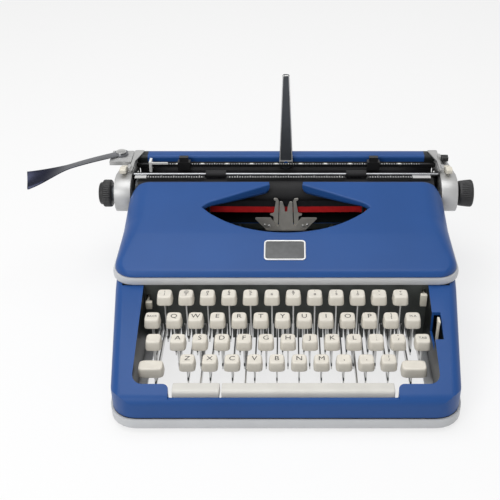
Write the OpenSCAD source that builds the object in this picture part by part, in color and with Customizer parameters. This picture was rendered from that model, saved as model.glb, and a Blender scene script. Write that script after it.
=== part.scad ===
// Manual typewriter: casing, hinged cover, keyboard, type action and carriage.
// Millimetres. X to the right, Y to the rear, Z up, origin at the middle of the footprint.

/* [Casing] */
// Depth of the casing from front to rear
body_d = 300; // [292:1:320]
// Height of the rubber feet
foot_h = 4; // [2:0.5:8]
// Radius of a rubber foot
foot_r = 9; // [6:0.5:12]
// Height of the pale base rim
base_h = 9; // [7:0.5:11]
// How far the base rim stands proud of the casing
base_proud = 1.5; // [0.5:0.1:3]
// Thickness of the base floor and its flange
floor_t = 2; // [1.5:0.1:3]
// Wall of the casing and of the base rim
casing_wall = 3; // [2.4:0.1:4]
// Wall round the keyboard well
well_wall = 2; // [1.2:0.1:3]
// Width of the casing's arm on each side of the keys
arm_w = 26; // [24:0.5:32]
// How much narrower each side is at the front
front_taper = 9.5; // [5:0.5:11]
// Plan radius of the front corners
front_corner_r = 22; // [12:1:30]
// Plan radius of the rear corners
rear_corner_r = 18; // [10:1:26]
// Height of the casing's front edge above the feet
front_rise = 29.2; // [26:0.1:32]
// Height of the trim band's underside above the feet
casing_h = 64.5; // [63:0.5:70]
// Radius of the casing's rounded front edge
front_round = 10; // [4:0.5:14]
// Radius of the arms' rounded outer edges
arm_round = 9; // [4:0.5:9]
// Step from the casing's top down to the rear deck
deck_drop = 2.5; // [2:0.1:5]

/* [Trim and cover] */
// Height of the trim band
trim_h = 8.5; // [6:0.5:10]
// How far the trim band stands proud of the casing
trim_proud = 3.5; // [2:0.5:5]
// Thickness of the trim band
trim_t = 6; // [5:0.5:8]
// Plan radius of the trim band's front corners
trim_corner_r = 20; // [12:1:28]
// Wall of the top cover
cover_wall = 2; // [1.4:0.1:2.4]
// How far the cover stands proud of the casing
cover_proud = 1.5; // [0.5:0.1:3]
// Gap under the cover's lower edge
cover_gap = 0.3; // [0.2:0.1:1]
// Radius of the cover's shoulders
shoulder_r = 22; // [12:1:26]
// Height of the cover's rear edge above the platen's middle
cover_rear_rise = 20.5; // [20:0.1:22]
// Gap in plan from the cover's rear edge to the platen's middle
cover_rear_gap = 14; // [13.5:0.1:16]
// Half width of the eye opening
eye_half = 80; // [60:1:90]
// Depth of the eye from its corners to its lowest point, as a share of the cover's depth
eye_share = 0.292; // [0.2:0.002:0.32]
// Distance from the cover's rear edge to the eye's corners, as a share of the cover's depth
eye_back_share = 0.3; // [0.26:0.002:0.34]
// Half width of the notch in the cover's rear edge
notch_half = 16.6; // [15:0.1:24]
// Height of the flange turned down along the eye
flange_h = 9; // [5:0.5:10]
// Width of the badge plate
badge_w = 38; // [24:1:50]
// Depth of the badge plate, as a share of the cover's depth
badge_share = 0.206; // [0.12:0.002:0.22]
// Thickness of the badge plate
badge_t = 1.2; // [0.8:0.1:2]
// Radius of the cover's hinge pins
hinge_pin_r = 1.2; // [1:0.1:1.4]

/* [Keyboard] */
// Pitch of the keys, across and from row to row
key_pitch = 19; // [18.6:0.05:19.4]
// Width of a key cap
cap_w = 14; // [12:0.1:15]
// Depth of a key cap
cap_d = 14; // [11:0.1:14.4]
// Height of a key cap
cap_h = 9; // [7:0.1:10]
// How much a cap narrows towards its top on each side
cap_taper = 1.5; // [0.5:0.1:2.5]
// Width of a shift cap
shift_w = 22; // [16:0.1:22.4]
// Distance from the casing's front to the lower row
key_front = 43; // [42:0.5:46]
// Height of the lower row's tops above the feet
key_rise = 37.5; // [36:0.1:40]
// Rise from the lower row to the next
row_step = 7; // [5:0.1:8]
// Extra rise that each further row adds
row_curve = 1; // [0.5:0.05:1.2]
// Gap from the outermost cap to the well
side_gap = 2.75; // [1.5:0.05:4]
// Thickness of a key lever
lever_t = 1.2; // [0.8:0.1:1.4]
// Depth of a key lever
lever_h = 7; // [5:0.1:8]
// Depth of the upright that carries a cap
stem_d = 8; // [5:0.1:10]
// Radius of the fulcrum rod
fulcrum_r = 2.5; // [1.5:0.1:3]
// Width of the space bar
space_w = 142.5; // [120:0.5:146]
// Width of the repeat bar
repeat_w = 38.8; // [24:0.1:42]
// Depth of the space and repeat bars
bar_d = 14; // [11:0.1:15]
// Height of the space and repeat bars
bar_h = 9; // [6:0.1:10]

/* [Carriage] */
// Radius of the platen
platen_r = 16; // [15:0.1:16.4]
// Length of the platen
platen_len = 294; // [280:1:300]
// Distance from the casing's rear to the platen's middle
platen_back = 58; // [57:0.5:60]
// Height of the platen's middle above the trim band
platen_rise = 13; // [12.5:0.1:15]
// Radius of the platen's shaft
shaft_r = 3; // [2:0.1:4]
// Gap from the platen's end to the end housing
ratchet_gap = 7; // [6:0.5:10]
// Width of an end housing
housing_w = 16; // [12:0.5:20]
// Radius of the end housing's round nose
housing_r = 18; // [17.4:0.1:18.3]
// Radius of a platen knob
knob_r = 13.7; // [9:0.1:15]
// Width of a platen knob
knob_w = 14.5; // [10:0.1:20]
// Gap from the end housing to the knob
knob_gap = 2.5; // [1.5:0.1:5]
// Length of the paper support above its pivot
support_len = 96; // [60:1:120]
// Length of the return lever from pivot to paddle
lever_len = 99; // [70:1:110]
// Distance the paper bail's bar stands from the platen's middle
bail_stand = 20; // [19.5:0.1:20.6]

/* [Type action] */
// Length of a typebar
typebar_len = 57; // [54:0.5:58]
// Thickness of a typebar
typebar_t = 1.3; // [0.8:0.1:1.4]
// Tilt of the fan of typebars
fan_tilt = 65.7; // [63:0.1:68]
// Swing of a typebar from rest to the platen
typebar_swing = 100; // [96:1:102]
// Radius of a ribbon spool
spool_r = 24; // [16:0.5:26]
// Width of the ribbon
ribbon_w = 13; // [10:0.5:13]

/* [Hidden] */

$fn = 48;
arc_steps = 6;
far = 1000;
// Running clearance of a pin in its bore, and the gap between pieces that pass each other
pin_clear = 0.05;
run_gap = 0.3;

// Heights and depths of the casing
front_y = -body_d / 2;
rear_y = body_d / 2;
base_z = foot_h;
floor_z = base_z + floor_t;
seam_z = base_z + base_h;
trim_z = base_z + casing_h;
cover_z = trim_z + trim_h;
deck_z = trim_z - deck_drop;
front_edge_z = base_z + front_rise;

// Keyboard rows, counted from the front: lower, home, upper, number
row_count = [10, 11, 11, 12];
kb_x = -3;
row_mid = [kb_x + key_pitch / 4, kb_x + key_pitch / 4, kb_x, kb_x];
side_out = 2;
shift_front = 5;
shift_drop = 2.5;
trim_setback = 11;
function row_y(row) = front_y + key_front + row * key_pitch;
function row_z(row) = base_z + key_rise + row_step * row + row_curve * row * (row - 1);
function key_x(row, k) = row_mid[row] + (k - (row_count[row] - 1) / 2) * key_pitch;
strike_index = 5;
lock_x = key_x(1, -1) - side_out;
tab_x = key_x(1, 11) + side_out;
left_shift_x = key_x(0, -1) - key_pitch / 2 - side_out;
right_shift_x = key_x(0, 10) + side_out;
opening_half = tab_x + cap_w / 2 + side_gap;
casing_half = opening_half + arm_w;
front_half = casing_half - front_taper;
trim_front = row_y(3) + trim_setback;
arm_slope = atan((trim_z - front_edge_z) / (trim_front - front_y));
ledge_d = 15;
well_front = front_y + ledge_d;
well_r = 9;

// Space and repeat bars lie in a notch of the front apron
bar_gap = 1.9;
bar_side_gap = 3;
bar_front_gap = 1.6;
apron_t = casing_wall + well_wall;
apron_drop = 1.2;
bar_front = front_y + apron_t + bar_front_gap;
bar_top = front_edge_z + 2.3;
space_x = kb_x + 21.25;
repeat_x = space_x - space_w / 2 - bar_gap - repeat_w / 2;
notch_left = repeat_x - repeat_w / 2 - bar_side_gap;
notch_right = space_x + space_w / 2 + bar_side_gap;

// Platen, housings and carriage
platen_y = rear_y - platen_back;
platen_z = cover_z + platen_rise;
housing_in = platen_len / 2 + ratchet_gap;
housing_out = housing_in + housing_w;
housing_top = platen_z + housing_r;
housing_bottom = platen_z - housing_r;
housing_rear = platen_y + 51;
housing_taper = 7;
knob_in = housing_out + knob_gap;
bed_t = 3;
bed_front = platen_y + 22;
rail_w = 6;
rail_front = platen_y + 26;
rail_gap = 8;
rail_lip = 1.6;
rail_lip_h = 5;
rail_h = 20;
rail_rear = rail_front + 2 * rail_w + rail_gap;
rail_top = housing_bottom - run_gap;
shoe_half = 20;
feed_r = 4;
feed_shaft_r = 1.5;
feed_angle = -40;
feed_dist = platen_r + feed_r + run_gap;
feed_y = platen_y + feed_dist * cos(feed_angle);
feed_z = platen_z + feed_dist * sin(feed_angle);
deflector_in = platen_r + 1.3;
deflector_t = 1.2;
table_front = platen_y + 43;
table_rear = platen_y + 56.6;
table_top = platen_z + cover_rear_rise - 0.5;
table_t = 2;
margin_y = platen_y + 35.5;
margin_z = platen_z + 13.5;
margin_s = 3;
support_t = 2;
support_y = table_front - 2.5;
support_z = platen_z + 14;
support_pin_r = 2;
support_foot = 7;
support_tip = 3.5;
bail_angle = 79;
bail_y = platen_y + bail_stand * cos(bail_angle);
bail_z = platen_z + bail_stand * sin(bail_angle);
bail_r = 1.3;
bail_pivot_y = platen_y + 26;
bail_pivot_z = platen_z + 10;
bail_pin_r = 1.5;
bail_arm_t = 2;
bail_arm_x = housing_in - run_gap - bail_arm_t / 2;
bail_roller_r = bail_stand - platen_r - run_gap;
bail_roller_x = 0.238 * platen_len;
bail_roller_w = 20;
tab_pivot_y = platen_y + 14;
tab_pivot_z = housing_top + 3;
tab_pin_r = 1.5;
lever_pin_x = -housing_out;
lever_pin_y = platen_y + 42;
lever_pin_r = 2.5;
bracket_t = 4;
bracket_out = 10;
lever_z = housing_top + bracket_t + run_gap;
lever_strip_t = 2.5;
lever_angle = 216;

// Type action: strike point, pivot circle and spools
strike_y = platen_y - platen_r - 2.6;
strike_z = platen_z;
pivot_y = strike_y - typebar_len * cos(fan_tilt);
pivot_z = strike_z - typebar_len * sin(fan_tilt);
bar_step = 2.55;
bar_side = 22;
pivot_pin_r = 1;
heel_r = 3.2;
segment_half = 7;
fulcrum_y = platen_y + 3;
fulcrum_z = base_z + 16;
hub_r = fulcrum_r + 2.5;
frame_t = 3;
frame_x = casing_half - 15.5;
arm_front = pivot_y + 5.1;
arm_rear = pivot_y + 11.6;
arm_top = trim_z - 0.5;
arm_h = 6;
spool_x = 95;
spool_y = pivot_y - 30;
spool_plate_z = trim_z - 12.5;
spool_plate_t = 2;
spool_pin_r = 2.5;
spool_h = 14;
comb_t = 2;
comb_y = trim_front + 2;
guide_y = strike_y - 4.6;
guide_t = 1.5;
guide_half = 14;
guide_tab = [58, 64];
ribbon_t = 0.3;
ribbon_y = strike_y - 0.8;
ribbon_z = strike_z - 11;
ribbon_turn = [spool_x - 19, arm_rear - 1.7, ribbon_z + 8];
ribbon_post_r = 1.3;
stub_x = opening_half - 3;
selector_x = opening_half + well_wall + 2;
selector_y = front_y + 70;
selector_z = base_z + 26;

// Cover: line of its top, hinge and badge
cover_half = casing_half + cover_proud;
cover_front = trim_front + 0.5;
cover_low = cover_z + cover_gap;
cover_rear_y = platen_y - cover_rear_gap;
cover_rear_z = platen_z + cover_rear_rise;
brow_y = cover_front + 3;
brow_z = cover_low + 4.3;
cover_len = cover_rear_y - cover_front;
crown_y = cover_front + 0.4 * cover_len;
crown_z = cover_z + 17.5;
badge_slope = atan((crown_z - brow_z) / (crown_y - brow_y));
eye_depth = eye_share * cover_len;
eye_y = cover_rear_y - eye_back_share * cover_len;
badge_d = badge_share * cover_len;
badge_y = (brow_y + eye_y - eye_depth) / 2 + 0.01 * cover_len;
badge_z = brow_z + (badge_y - brow_y) * tan(badge_slope);
badge_x = -1;
top_slope = atan((cover_rear_z - crown_z) / (cover_rear_y - crown_y));
carriage_gap = 2;
cover_relief = 1.8;
hinge_y = cover_rear_y - 3.5;
hinge_z = cover_rear_z - 6;
hinge_head_r = hinge_pin_r + 1.4;
hinge_x = frame_x - 12;
hinge_lug_t = 3;

// Points of an outline whose corners [x, y, radius] are rounded with arcs
function unit(v) = v / norm(v);
function corner_arc(a, b, c, r) =
  let (u = unit(a - b), w = unit(c - b), half = acos(u * w) / 2)
  let (middle = b + unit(u + w) * r / sin(half), start = b + u * r / tan(half) - middle)
  let (from = atan2(start.y, start.x), turn = (180 - 2 * half) * sign(cross(b - a, c - b)))
  [for (i = [0:arc_steps]) middle + r * [cos(from + turn * i / arc_steps), sin(from + turn * i / arc_steps)]];
function flat(p) = [p.x, p.y];
function rounded(p) = [for (i = [0:len(p) - 1])
  each p[i][2] == 0 ? [flat(p[i])]
    : corner_arc(flat(p[(i + len(p) - 1) % len(p)]), flat(p[i]), flat(p[(i + 1) % len(p)]), p[i][2])];
function both_sides(p) = concat(p, [for (i = [len(p) - 1:-1:0]) [-p[i].x, p[i].y, p[i][2]]]);

// A profile drawn in Y and Z, carried along X; a profile in X and Z, carried along Y
module along_x(w) { rotate([90, 0, 90]) linear_extrude(w, center = true) children(); }
module along_y(d) { rotate([90, 0, 0]) linear_extrude(d, center = true) children(); }
module rod_x(r, w) { rotate([0, 90, 0]) cylinder(r = r, h = w, center = true); }
module rod_y(r, d) { rotate([90, 0, 0]) cylinder(r = r, h = d, center = true); }
module box(low, high) { translate(low) cube(high - low); }
module both() { children(); mirror([1, 0, 0]) children(); }

// Plan of the casing, grown on every side
function casing_plan(grow) = rounded(both_sides([
  [front_half + grow, front_y - grow, front_corner_r + grow],
  [casing_half + grow, trim_front, 30],
  [casing_half + grow, rear_y + grow, rear_corner_r + grow]]));
// Side outline of the casing, moved inwards by a wall
rear_step = platen_y - housing_r - carriage_gap;
function casing_side(inset) =
  let (slope_drop = inset / cos(arm_slope), front = front_y + inset)
  rounded([
    [front, base_z, 0], [rear_y - inset, base_z, 0], [rear_y - inset, deck_z - inset, 3],
    [rear_step - inset, deck_z - inset, 0], [rear_step - inset, trim_z - inset, 0],
    [trim_front + inset * tan(arm_slope / 2), trim_z - inset, 0],
    [front, front_edge_z + inset * tan(arm_slope) - slope_drop, front_round - inset]]);
// Plan of the keyboard well, with the notch that takes the bars
apron_y = front_y + apron_t;
well_rear = trim_front + 1;
notch_r = 5;
function well_plan(grow) = rounded([
  [-opening_half - grow, well_front - grow, well_r + grow],
  [notch_left - grow, well_front - grow, notch_r], [notch_left - grow, apron_y - grow, 2],
  [notch_right + grow, apron_y - grow, 2], [notch_right + grow, well_front - grow, notch_r],
  [opening_half + grow, well_front - grow, well_r + grow],
  [opening_half + grow, well_rear, 0], [-opening_half - grow, well_rear, 0]]);

// The base is open under the key levers, so that they can dip
floor_front = fulcrum_y - 95;
base_open_half = tab_x + lever_t + 2.5;
foot_x = base_open_half + foot_r + 1;
foot_y = body_d / 2 - foot_r - 17;
module rubber_feet() {
  color([0.1, 0.1, 0.1]) for (x = [-1, 1], y = [-1, 1]) translate([x * foot_x, y * foot_y, 0])
    cylinder(r = foot_r, h = foot_h);
}

module base_tray() {
  color([0.78, 0.78, 0.79]) difference() {
    translate([0, 0, base_z]) linear_extrude(base_h) polygon(casing_plan(base_proud));
    translate([0, 0, floor_z]) linear_extrude(base_h) polygon(casing_plan(base_proud - casing_wall));
    box([-base_open_half, apron_y, 0], [base_open_half, floor_front, floor_z + 1]);
  }
}

screw_r = 1.5;
screw_head_r = 3.2;
screw_head_h = 1.6;
screw_grip = 5;
module screw_places() {
  for (x = [-1, 1], z = [seam_z + 12, deck_z - 14])
    translate([x * (casing_half - 40), rear_y, z]) children();
}
module casing_screws() {
  color([0.7, 0.7, 0.72]) screw_places() {
    translate([0, screw_head_h / 2, 0]) rod_y(screw_head_r, screw_head_h);
    translate([0, -(casing_wall + screw_grip) / 2, 0]) rod_y(screw_r, casing_wall + screw_grip);
  }
}

// Cutter that rounds an arm's outer edge; the edge runs up the arm along the tapered side
module arm_edge() {
  edge_run = 2.3;
  run = trim_front - front_y;
  length = norm([front_taper, run, trim_z - front_edge_z]);
  translate([front_half, front_y, front_edge_z])
    rotate([0, 0, -atan(front_taper / run)]) rotate([arm_slope, 0, 0]) rotate([-90, 0, 0])
      translate([0, 0, -length]) linear_extrude(edge_run * length) difference() {
        translate([-arm_round, -arm_round]) square(2 * arm_round);
        translate([-arm_round, arm_round]) circle(arm_round);
      }
}

slot_w = 7.5;
slot_half = 13.5;
inner_half = casing_half - 6.5;
guide_notch = guide_tab[1] + 2;
rail_cut = 6;
module lower_casing() {
  color([0.18, 0.33, 0.61]) difference() {
    intersection() {
      translate([0, 0, seam_z]) linear_extrude(far) polygon(casing_plan(0));
      along_x(far) polygon(casing_side(0));
    }
    difference() {
      intersection() {
        linear_extrude(far) polygon(casing_plan(-casing_wall));
        along_x(far) polygon(casing_side(casing_wall));
      }
      linear_extrude(far) polygon(well_plan(well_wall));
    }
    linear_extrude(far) polygon(well_plan(0));
    box([notch_left, front_y - 1, front_edge_z - apron_drop], [notch_right, apron_y + 1, far]);
    box([-inner_half, well_rear - 0.1, trim_z - 20], [inner_half, rear_step - casing_wall, far]);
    box([-frame_x - frame_t - 1, rail_front - rail_cut, deck_z - 20],
      [frame_x + frame_t + 1, rail_rear + rail_cut, far]);
    box([-guide_notch, rear_step - casing_wall - 1, deck_z - 12], [guide_notch, rear_step + 3, far]);
    box([opening_half - 1, selector_y - slot_half, selector_z + 9],
      [opening_half + slot_w, selector_y + slot_half, far]);
    both() arm_edge();
    screw_places() rod_y(screw_r + pin_clear, 3 * casing_wall);
  }
}

function trim_plan(inset, rear) = rounded(both_sides([
  [casing_half + trim_proud - inset, trim_front + inset, trim_corner_r - inset],
  [casing_half + trim_proud - inset, rear, 0]]));
module trim_band() {
  color([0.78, 0.78, 0.79]) translate([0, 0, trim_z]) difference() {
    linear_extrude(trim_h) polygon(trim_plan(0, rear_step));
    translate([0, 0, -1]) linear_extrude(trim_h + 2) polygon(trim_plan(trim_t, rear_step + 1));
  }
}

frame_top = trim_z - 2.5;
frame_front = front_y + 50;
frame_rear = rear_y - casing_wall - 2;
post_in = hinge_x + hinge_lug_t + run_gap;
frame_deck_z = deck_z - casing_wall - run_gap;
post_rear = rear_step - casing_wall - run_gap;
post_d = floor(10 * (post_rear - arm_rear - run_gap)) / 10;
post_lean = 20;
module frame_plate() {
  along_x(frame_t) polygon([[frame_front, floor_z], [frame_rear, floor_z], [frame_rear, frame_deck_z],
    [post_rear, frame_deck_z], [post_rear, frame_top], [comb_y + comb_t, frame_top],
    [comb_y + comb_t, selector_z + 20], [frame_front, selector_z + 6]]);
}
module hinge_post() {
  translate([post_in + hinge_lug_t / 2, 0, 0]) along_x(hinge_lug_t) difference() {
    union() {
      polygon([[post_rear - post_d, frame_top - frame_t], [post_rear, frame_top - frame_t],
        [post_rear, hinge_z - post_lean], [hinge_y + hinge_head_r * 0.9, hinge_z],
        [hinge_y - hinge_head_r * 0.9, hinge_z], [post_rear - post_d, hinge_z - post_lean - 4]]);
      translate([hinge_y, hinge_z]) circle(hinge_head_r);
    }
    translate([hinge_y, hinge_z]) circle(hinge_pin_r + pin_clear);
  }
  box([post_in, post_rear - post_d, frame_top - frame_t], [frame_x + 1, post_rear, frame_top]);
}
pin_end = selector_x - 1.4;
module side_frames() {
  color([0.25, 0.25, 0.27]) {
    both() {
      translate([frame_x + frame_t / 2, 0, 0]) frame_plate();
      hinge_post();
      box([spool_x - 12, spool_y - 10, spool_plate_z],
        [frame_x + 1, spool_y + 10, spool_plate_z + spool_plate_t]);
      translate([spool_x, spool_y, spool_plate_z]) cylinder(r = spool_pin_r, h = spool_h + 6);
    }
    translate([pin_end, selector_y, selector_z]) rotate([0, 90, 0])
      cylinder(r = screw_r, h = frame_x + 1 - pin_end);
  }
}

// X of every key lever, bar arms last
arm_shift = 0.16 * key_pitch;
space_arms = [key_x(3, 4) - arm_shift, key_x(3, 9) - arm_shift];
repeat_arm = key_x(3, 2) - arm_shift;
shift_arms = [(lock_x + key_x(3, 0)) / 2, (key_x(3, 11) + key_x(2, 11)) / 2];
lever_xs = concat([for (row = [0:3], k = [0:row_count[row] - 1]) key_x(row, k)],
  [key_x(2, -1), key_x(2, 11), lock_x, tab_x, repeat_arm], shift_arms, space_arms);
lever_top = fulcrum_z + lever_h / 2;
lever_low = fulcrum_z - lever_h / 2;
comb_slot = lever_t + 0.8;
stub_z = [trim_z - 11, trim_z - 16.5];
stub_pivot_y = comb_y + comb_t + 6;
stub_pin_r = 1.2;
module stub_bracket(z) {
  box([stub_x - 6, comb_y + comb_t, z - 3], [stub_x - 1.6, stub_pivot_y + 3, z + 3]);
  translate([stub_x - 1, stub_pivot_y, z]) rod_x(stub_pin_r, 5);
}
module key_comb() {
  color([0.12, 0.14, 0.13]) {
    difference() {
      box([-frame_x, comb_y, base_z + 4], [frame_x, comb_y + comb_t, trim_z]);
      for (x = lever_xs)
        box([x - comb_slot / 2, comb_y - 1, 0], [x + comb_slot / 2, comb_y + comb_t + 1, lever_top + 1]);
      for (side = [0, 1])
        translate([(1 - 2 * side) * stub_x, comb_y, stub_z[side]]) cube([4, 3 * comb_t, 11], center = true);
    }
    stub_bracket(stub_z[0]);
    mirror([1, 0, 0]) stub_bracket(stub_z[1]);
  }
}

module fulcrum_rod() {
  color([0.7, 0.7, 0.72]) translate([0, fulcrum_y, fulcrum_z]) rod_x(fulcrum_r, 2 * frame_x);
}

// Frame of the fan of typebars, and the pivot of one bar in it
module fan() { translate([0, strike_y, strike_z]) rotate([fan_tilt, 0, 0]) children(); }
module at_bar(angle) { fan() rotate([0, 0, angle]) translate([0, -typebar_len, 0]) children(); }
segment_end = 64;
segment_back = -6.5;
segment_front = 4;
bar_slot = typebar_t + 0.6;
module type_segment() {
  reach = 2 * typebar_len;
  color([0.3, 0.3, 0.31]) {
    fan() difference() {
      translate([0, 0, segment_back]) linear_extrude(segment_front - segment_back) difference() {
        intersection() {
          circle(typebar_len + segment_half);
          polygon([[0, 0], reach * [-sin(segment_end), -cos(segment_end)], reach * [-1, -1], reach * [1, -1],
            reach * [sin(segment_end), -cos(segment_end)]]);
        }
        circle(typebar_len - segment_half);
      }
      for (i = [-bar_side:bar_side - 1]) rotate([0, 0, i * bar_step])
        box([-bar_slot / 2, -typebar_len - segment_half - 1, -heel_r - run_gap],
          [bar_slot / 2, -typebar_len + segment_half + 1, segment_front + 1]);
    }
    at_bar(0) rod_x(pivot_pin_r, bar_slot + 2);
    both() {
      box([50, arm_front, arm_top - arm_h], [frame_x, arm_rear, arm_top]);
      translate([ribbon_turn.x - 1, ribbon_turn.y - 1.5, arm_top - 2])
        cylinder(r = ribbon_post_r, h = ribbon_turn.z + ribbon_w - arm_top + 3);
    }
  }
}

// A typebar lying along Y from its pivot, as it stands when it strikes
slug_w = 2.2;
slug_l = 9;
module typebar() {
  along_x(typebar_t) difference() {
    union() {
      circle(heel_r);
      polygon([[0, -2], [typebar_len - 4, -1.5], [typebar_len - 4, 1.5], [0, 2]]);
    }
    circle(pivot_pin_r + pin_clear);
  }
  box([-slug_w / 2, typebar_len - slug_l, -3], [slug_w / 2, typebar_len, 1.5]);
}
module resting_bar(angle) { at_bar(angle) rotate([typebar_swing, 0, 0]) typebar(); }
module typebar_bank() {
  color([0.45, 0.45, 0.46]) for (i = [-bar_side:bar_side - 1]) if (i != 0) resting_bar(i * bar_step);
}
module strike_typebar() { color([0.45, 0.45, 0.46]) resting_bar(0); }

// The guide's strip rests on the segment's arms; its plate has a V for the typebar
guide_low = strike_z - 30;
guide_top = strike_z + 3;
module type_guide() {
  color([0.75, 0.75, 0.74]) {
    difference() {
      translate([0, guide_y + guide_t / 2, 0]) along_y(guide_t) polygon(rounded(both_sides([
        [guide_half, guide_low, 0], [guide_half, arm_top, 0], [guide_tab[1], arm_top, 0],
        [guide_tab[1], arm_top + 6, 0], [guide_half, arm_top + 6, 0], [guide_half - 3, guide_top, 0]])));
      translate([0, guide_y, 0]) along_y(4 * guide_t) polygon(rounded(both_sides([
        [1.6, strike_z - 24, 0], [5, guide_top + 1, 0]])));
    }
    both() box([guide_tab[0], arm_front + 1, arm_top], [guide_tab[1], guide_y + guide_t, arm_top + 2]);
  }
}

// The vibrator carries the ribbon between its prongs and the fingers behind it
prong = [9.5, 13];
vibrator_t = 1.2;
vibrator_y = guide_y + guide_t + run_gap;
finger_y = ribbon_y + ribbon_t + run_gap;
finger_t = 0.9;
hook_z = ribbon_z - run_gap - 1.5;
module ribbon_vibrator() {
  color([0.78, 0.78, 0.77]) {
    box([-prong[1], vibrator_y, strike_z - 28], [prong[1], vibrator_y + vibrator_t, strike_z - 24.5]);
    both() {
      box([prong[0], vibrator_y, strike_z - 28], [prong[1], vibrator_y + vibrator_t, ribbon_z + ribbon_w + 1]);
      box([prong[0], vibrator_y, hook_z], [prong[1], finger_y + finger_t, ribbon_z - run_gap]);
      box([prong[0], finger_y, hook_z], [prong[1], finger_y + finger_t, ribbon_z + 6]);
    }
  }
}

winding_r = spool_r - 6;
spool_z = spool_plate_z + spool_plate_t + run_gap;
spool_flange = 1.2;
module ribbon() {
  reach = [spool_x - 8, spool_y + winding_r + 1, spool_z + spool_flange + 1.4];
  color([0.72, 0.1, 0.12]) intersection() {
    linear_extrude(far) polygon(rounded(both_sides([
      [prong[1], ribbon_y, 0], [ribbon_turn.x, ribbon_turn.y, 0], [reach.x, reach.y, 0],
      [reach.x + ribbon_t, reach.y, 0], [ribbon_turn.x + ribbon_t, ribbon_turn.y + ribbon_t, 0],
      [prong[1], ribbon_y + ribbon_t, 0]])));
    along_y(far) polygon(rounded(both_sides([
      [prong[1], ribbon_z, 0], [ribbon_turn.x, ribbon_turn.z, 0], [reach.x + 1, reach.z, 0],
      [reach.x + 1, reach.z + ribbon_w, 0], [ribbon_turn.x, ribbon_turn.z + ribbon_w, 0],
      [prong[1], ribbon_z + ribbon_w, 0]])));
  }
}
module ribbon_spool() {
  color([0.15, 0.15, 0.16]) translate([spool_x, spool_y, spool_z]) difference() {
    union() {
      cylinder(r = spool_r, h = spool_flange);
      cylinder(r = winding_r, h = spool_flange + ribbon_w);
      cylinder(r = 12, h = spool_h + 1);
    }
    translate([0, 0, -1]) cylinder(r = spool_pin_r + pin_clear, h = spool_h + 3);
  }
}
module left_ribbon_spool() { mirror([1, 0, 0]) ribbon_spool(); }
module right_ribbon_spool() { ribbon_spool(); }

// Rails with inward lips that hold the carriage's shoe
module rail_profile() {
  polygon([[rail_front, rail_top - rail_h], [rail_front + rail_w, rail_top - rail_h],
    [rail_front + rail_w, rail_top - rail_lip_h], [rail_front + rail_w + rail_lip, rail_top - rail_lip_h],
    [rail_front + rail_w + rail_lip, rail_top], [rail_front, rail_top]]);
}
rail_mid = rail_front + rail_w + rail_gap / 2;
module carriage_rails() {
  color([0.35, 0.35, 0.37]) along_x(2 * frame_x) {
    rail_profile();
    translate([2 * rail_mid, 0]) mirror([1, 0]) rail_profile();
  }
}
shoe_stem = rail_gap / 2 - rail_lip - run_gap;
shoe_foot = rail_gap / 2 - run_gap;
shoe_z = rail_top - rail_lip_h - run_gap;
bed_rear = table_rear - table_t - run_gap;
module carriage_bed() {
  color([0.5, 0.5, 0.52]) {
    box([-housing_in, bed_front, housing_bottom], [housing_in, bed_rear, housing_bottom + bed_t]);
    box([-shoe_half, rail_mid - shoe_stem, shoe_z - 1],
      [shoe_half, rail_mid + shoe_stem, housing_bottom + 1]);
    box([-shoe_half, rail_mid - shoe_foot, shoe_z - 4], [shoe_half, rail_mid + shoe_foot, shoe_z]);
  }
}

// Cover: side outline, plan and shoulders, each moved inwards by a wall
function cover_side(inset) =
  let (rear = cover_rear_y + 3 * inset, drop = inset / cos(top_slope), low = cover_low - 3 * inset)
  rounded([
    [cover_front + 1.22 * inset - 0.7 * 3 * inset, low, 0], [rear, low, 0],
    [rear, cover_rear_z + 3 * inset * tan(top_slope) - drop, 0],
    [crown_y + 0.25 * inset, crown_z - inset, 60], [brow_y + 0.62 * inset, brow_z - 0.86 * inset, 5]]);
function cover_plan(inset) = rounded(both_sides([
  [cover_half - inset, cover_front + inset, trim_corner_r - inset], [cover_half - inset, platen_y, 0]]));
module cover_solid(inset) {
  intersection() {
    linear_extrude(far) polygon(cover_plan(inset));
    along_x(far) polygon(cover_side(inset));
    translate([0, cover_rear_y, cover_rear_z + 0.4 - inset]) rotate([top_slope, 0, 0])
      along_y(far) polygon(rounded(both_sides([
        [cover_half - inset, -far / 4, 0], [cover_half - inset, 0, shoulder_r - inset]])));
  }
}
eye_r = (eye_half * eye_half + eye_depth * eye_depth) / (2 * eye_depth);
eye_turn = asin(eye_half / eye_r);
notch_y = cover_rear_y - 2;
flange_t = 1.5;
// The eye: a front arc between its corners, and straight edges back to the notch
function eye_outline() = concat(
  [for (i = [-8:8]) [eye_r * sin(eye_turn * i / 8), eye_y - eye_depth + eye_r * (1 - cos(eye_turn * i / 8))]],
  [[notch_half, notch_y], [notch_half, platen_y], [-notch_half, platen_y], [-notch_half, notch_y]]);
module eye_flange() {
  intersection() {
    linear_extrude(far) polygon([[eye_half, eye_y], [eye_half - 4, eye_y + flange_t + 2.08],
      [notch_half, notch_y + flange_t], [notch_half, notch_y]]);
    difference() {
      cover_solid(0);
      cover_solid(flange_h);
    }
  }
}
module top_cover() {
  color([0.18, 0.33, 0.61]) difference() {
    union() {
      difference() {
        cover_solid(0);
        cover_solid(cover_wall);
        linear_extrude(far) polygon(eye_outline());
      }
      both() eye_flange();
    }
    translate([0, platen_y, platen_z]) rod_x(housing_r + carriage_gap + cover_relief, far);
    box([-far / 2, rear_step, 0], [far / 2, far, platen_z]);
  }
}
module badge_plate() {
  color([0.75, 0.76, 0.78]) translate([badge_x, badge_y, badge_z]) rotate([badge_slope, 0, 0])
    linear_extrude(badge_t) polygon(rounded(both_sides([
      [badge_w / 2, -badge_d / 2, 5], [badge_w / 2, badge_d / 2, 5]])));
}
lug_d = 9;
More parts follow.
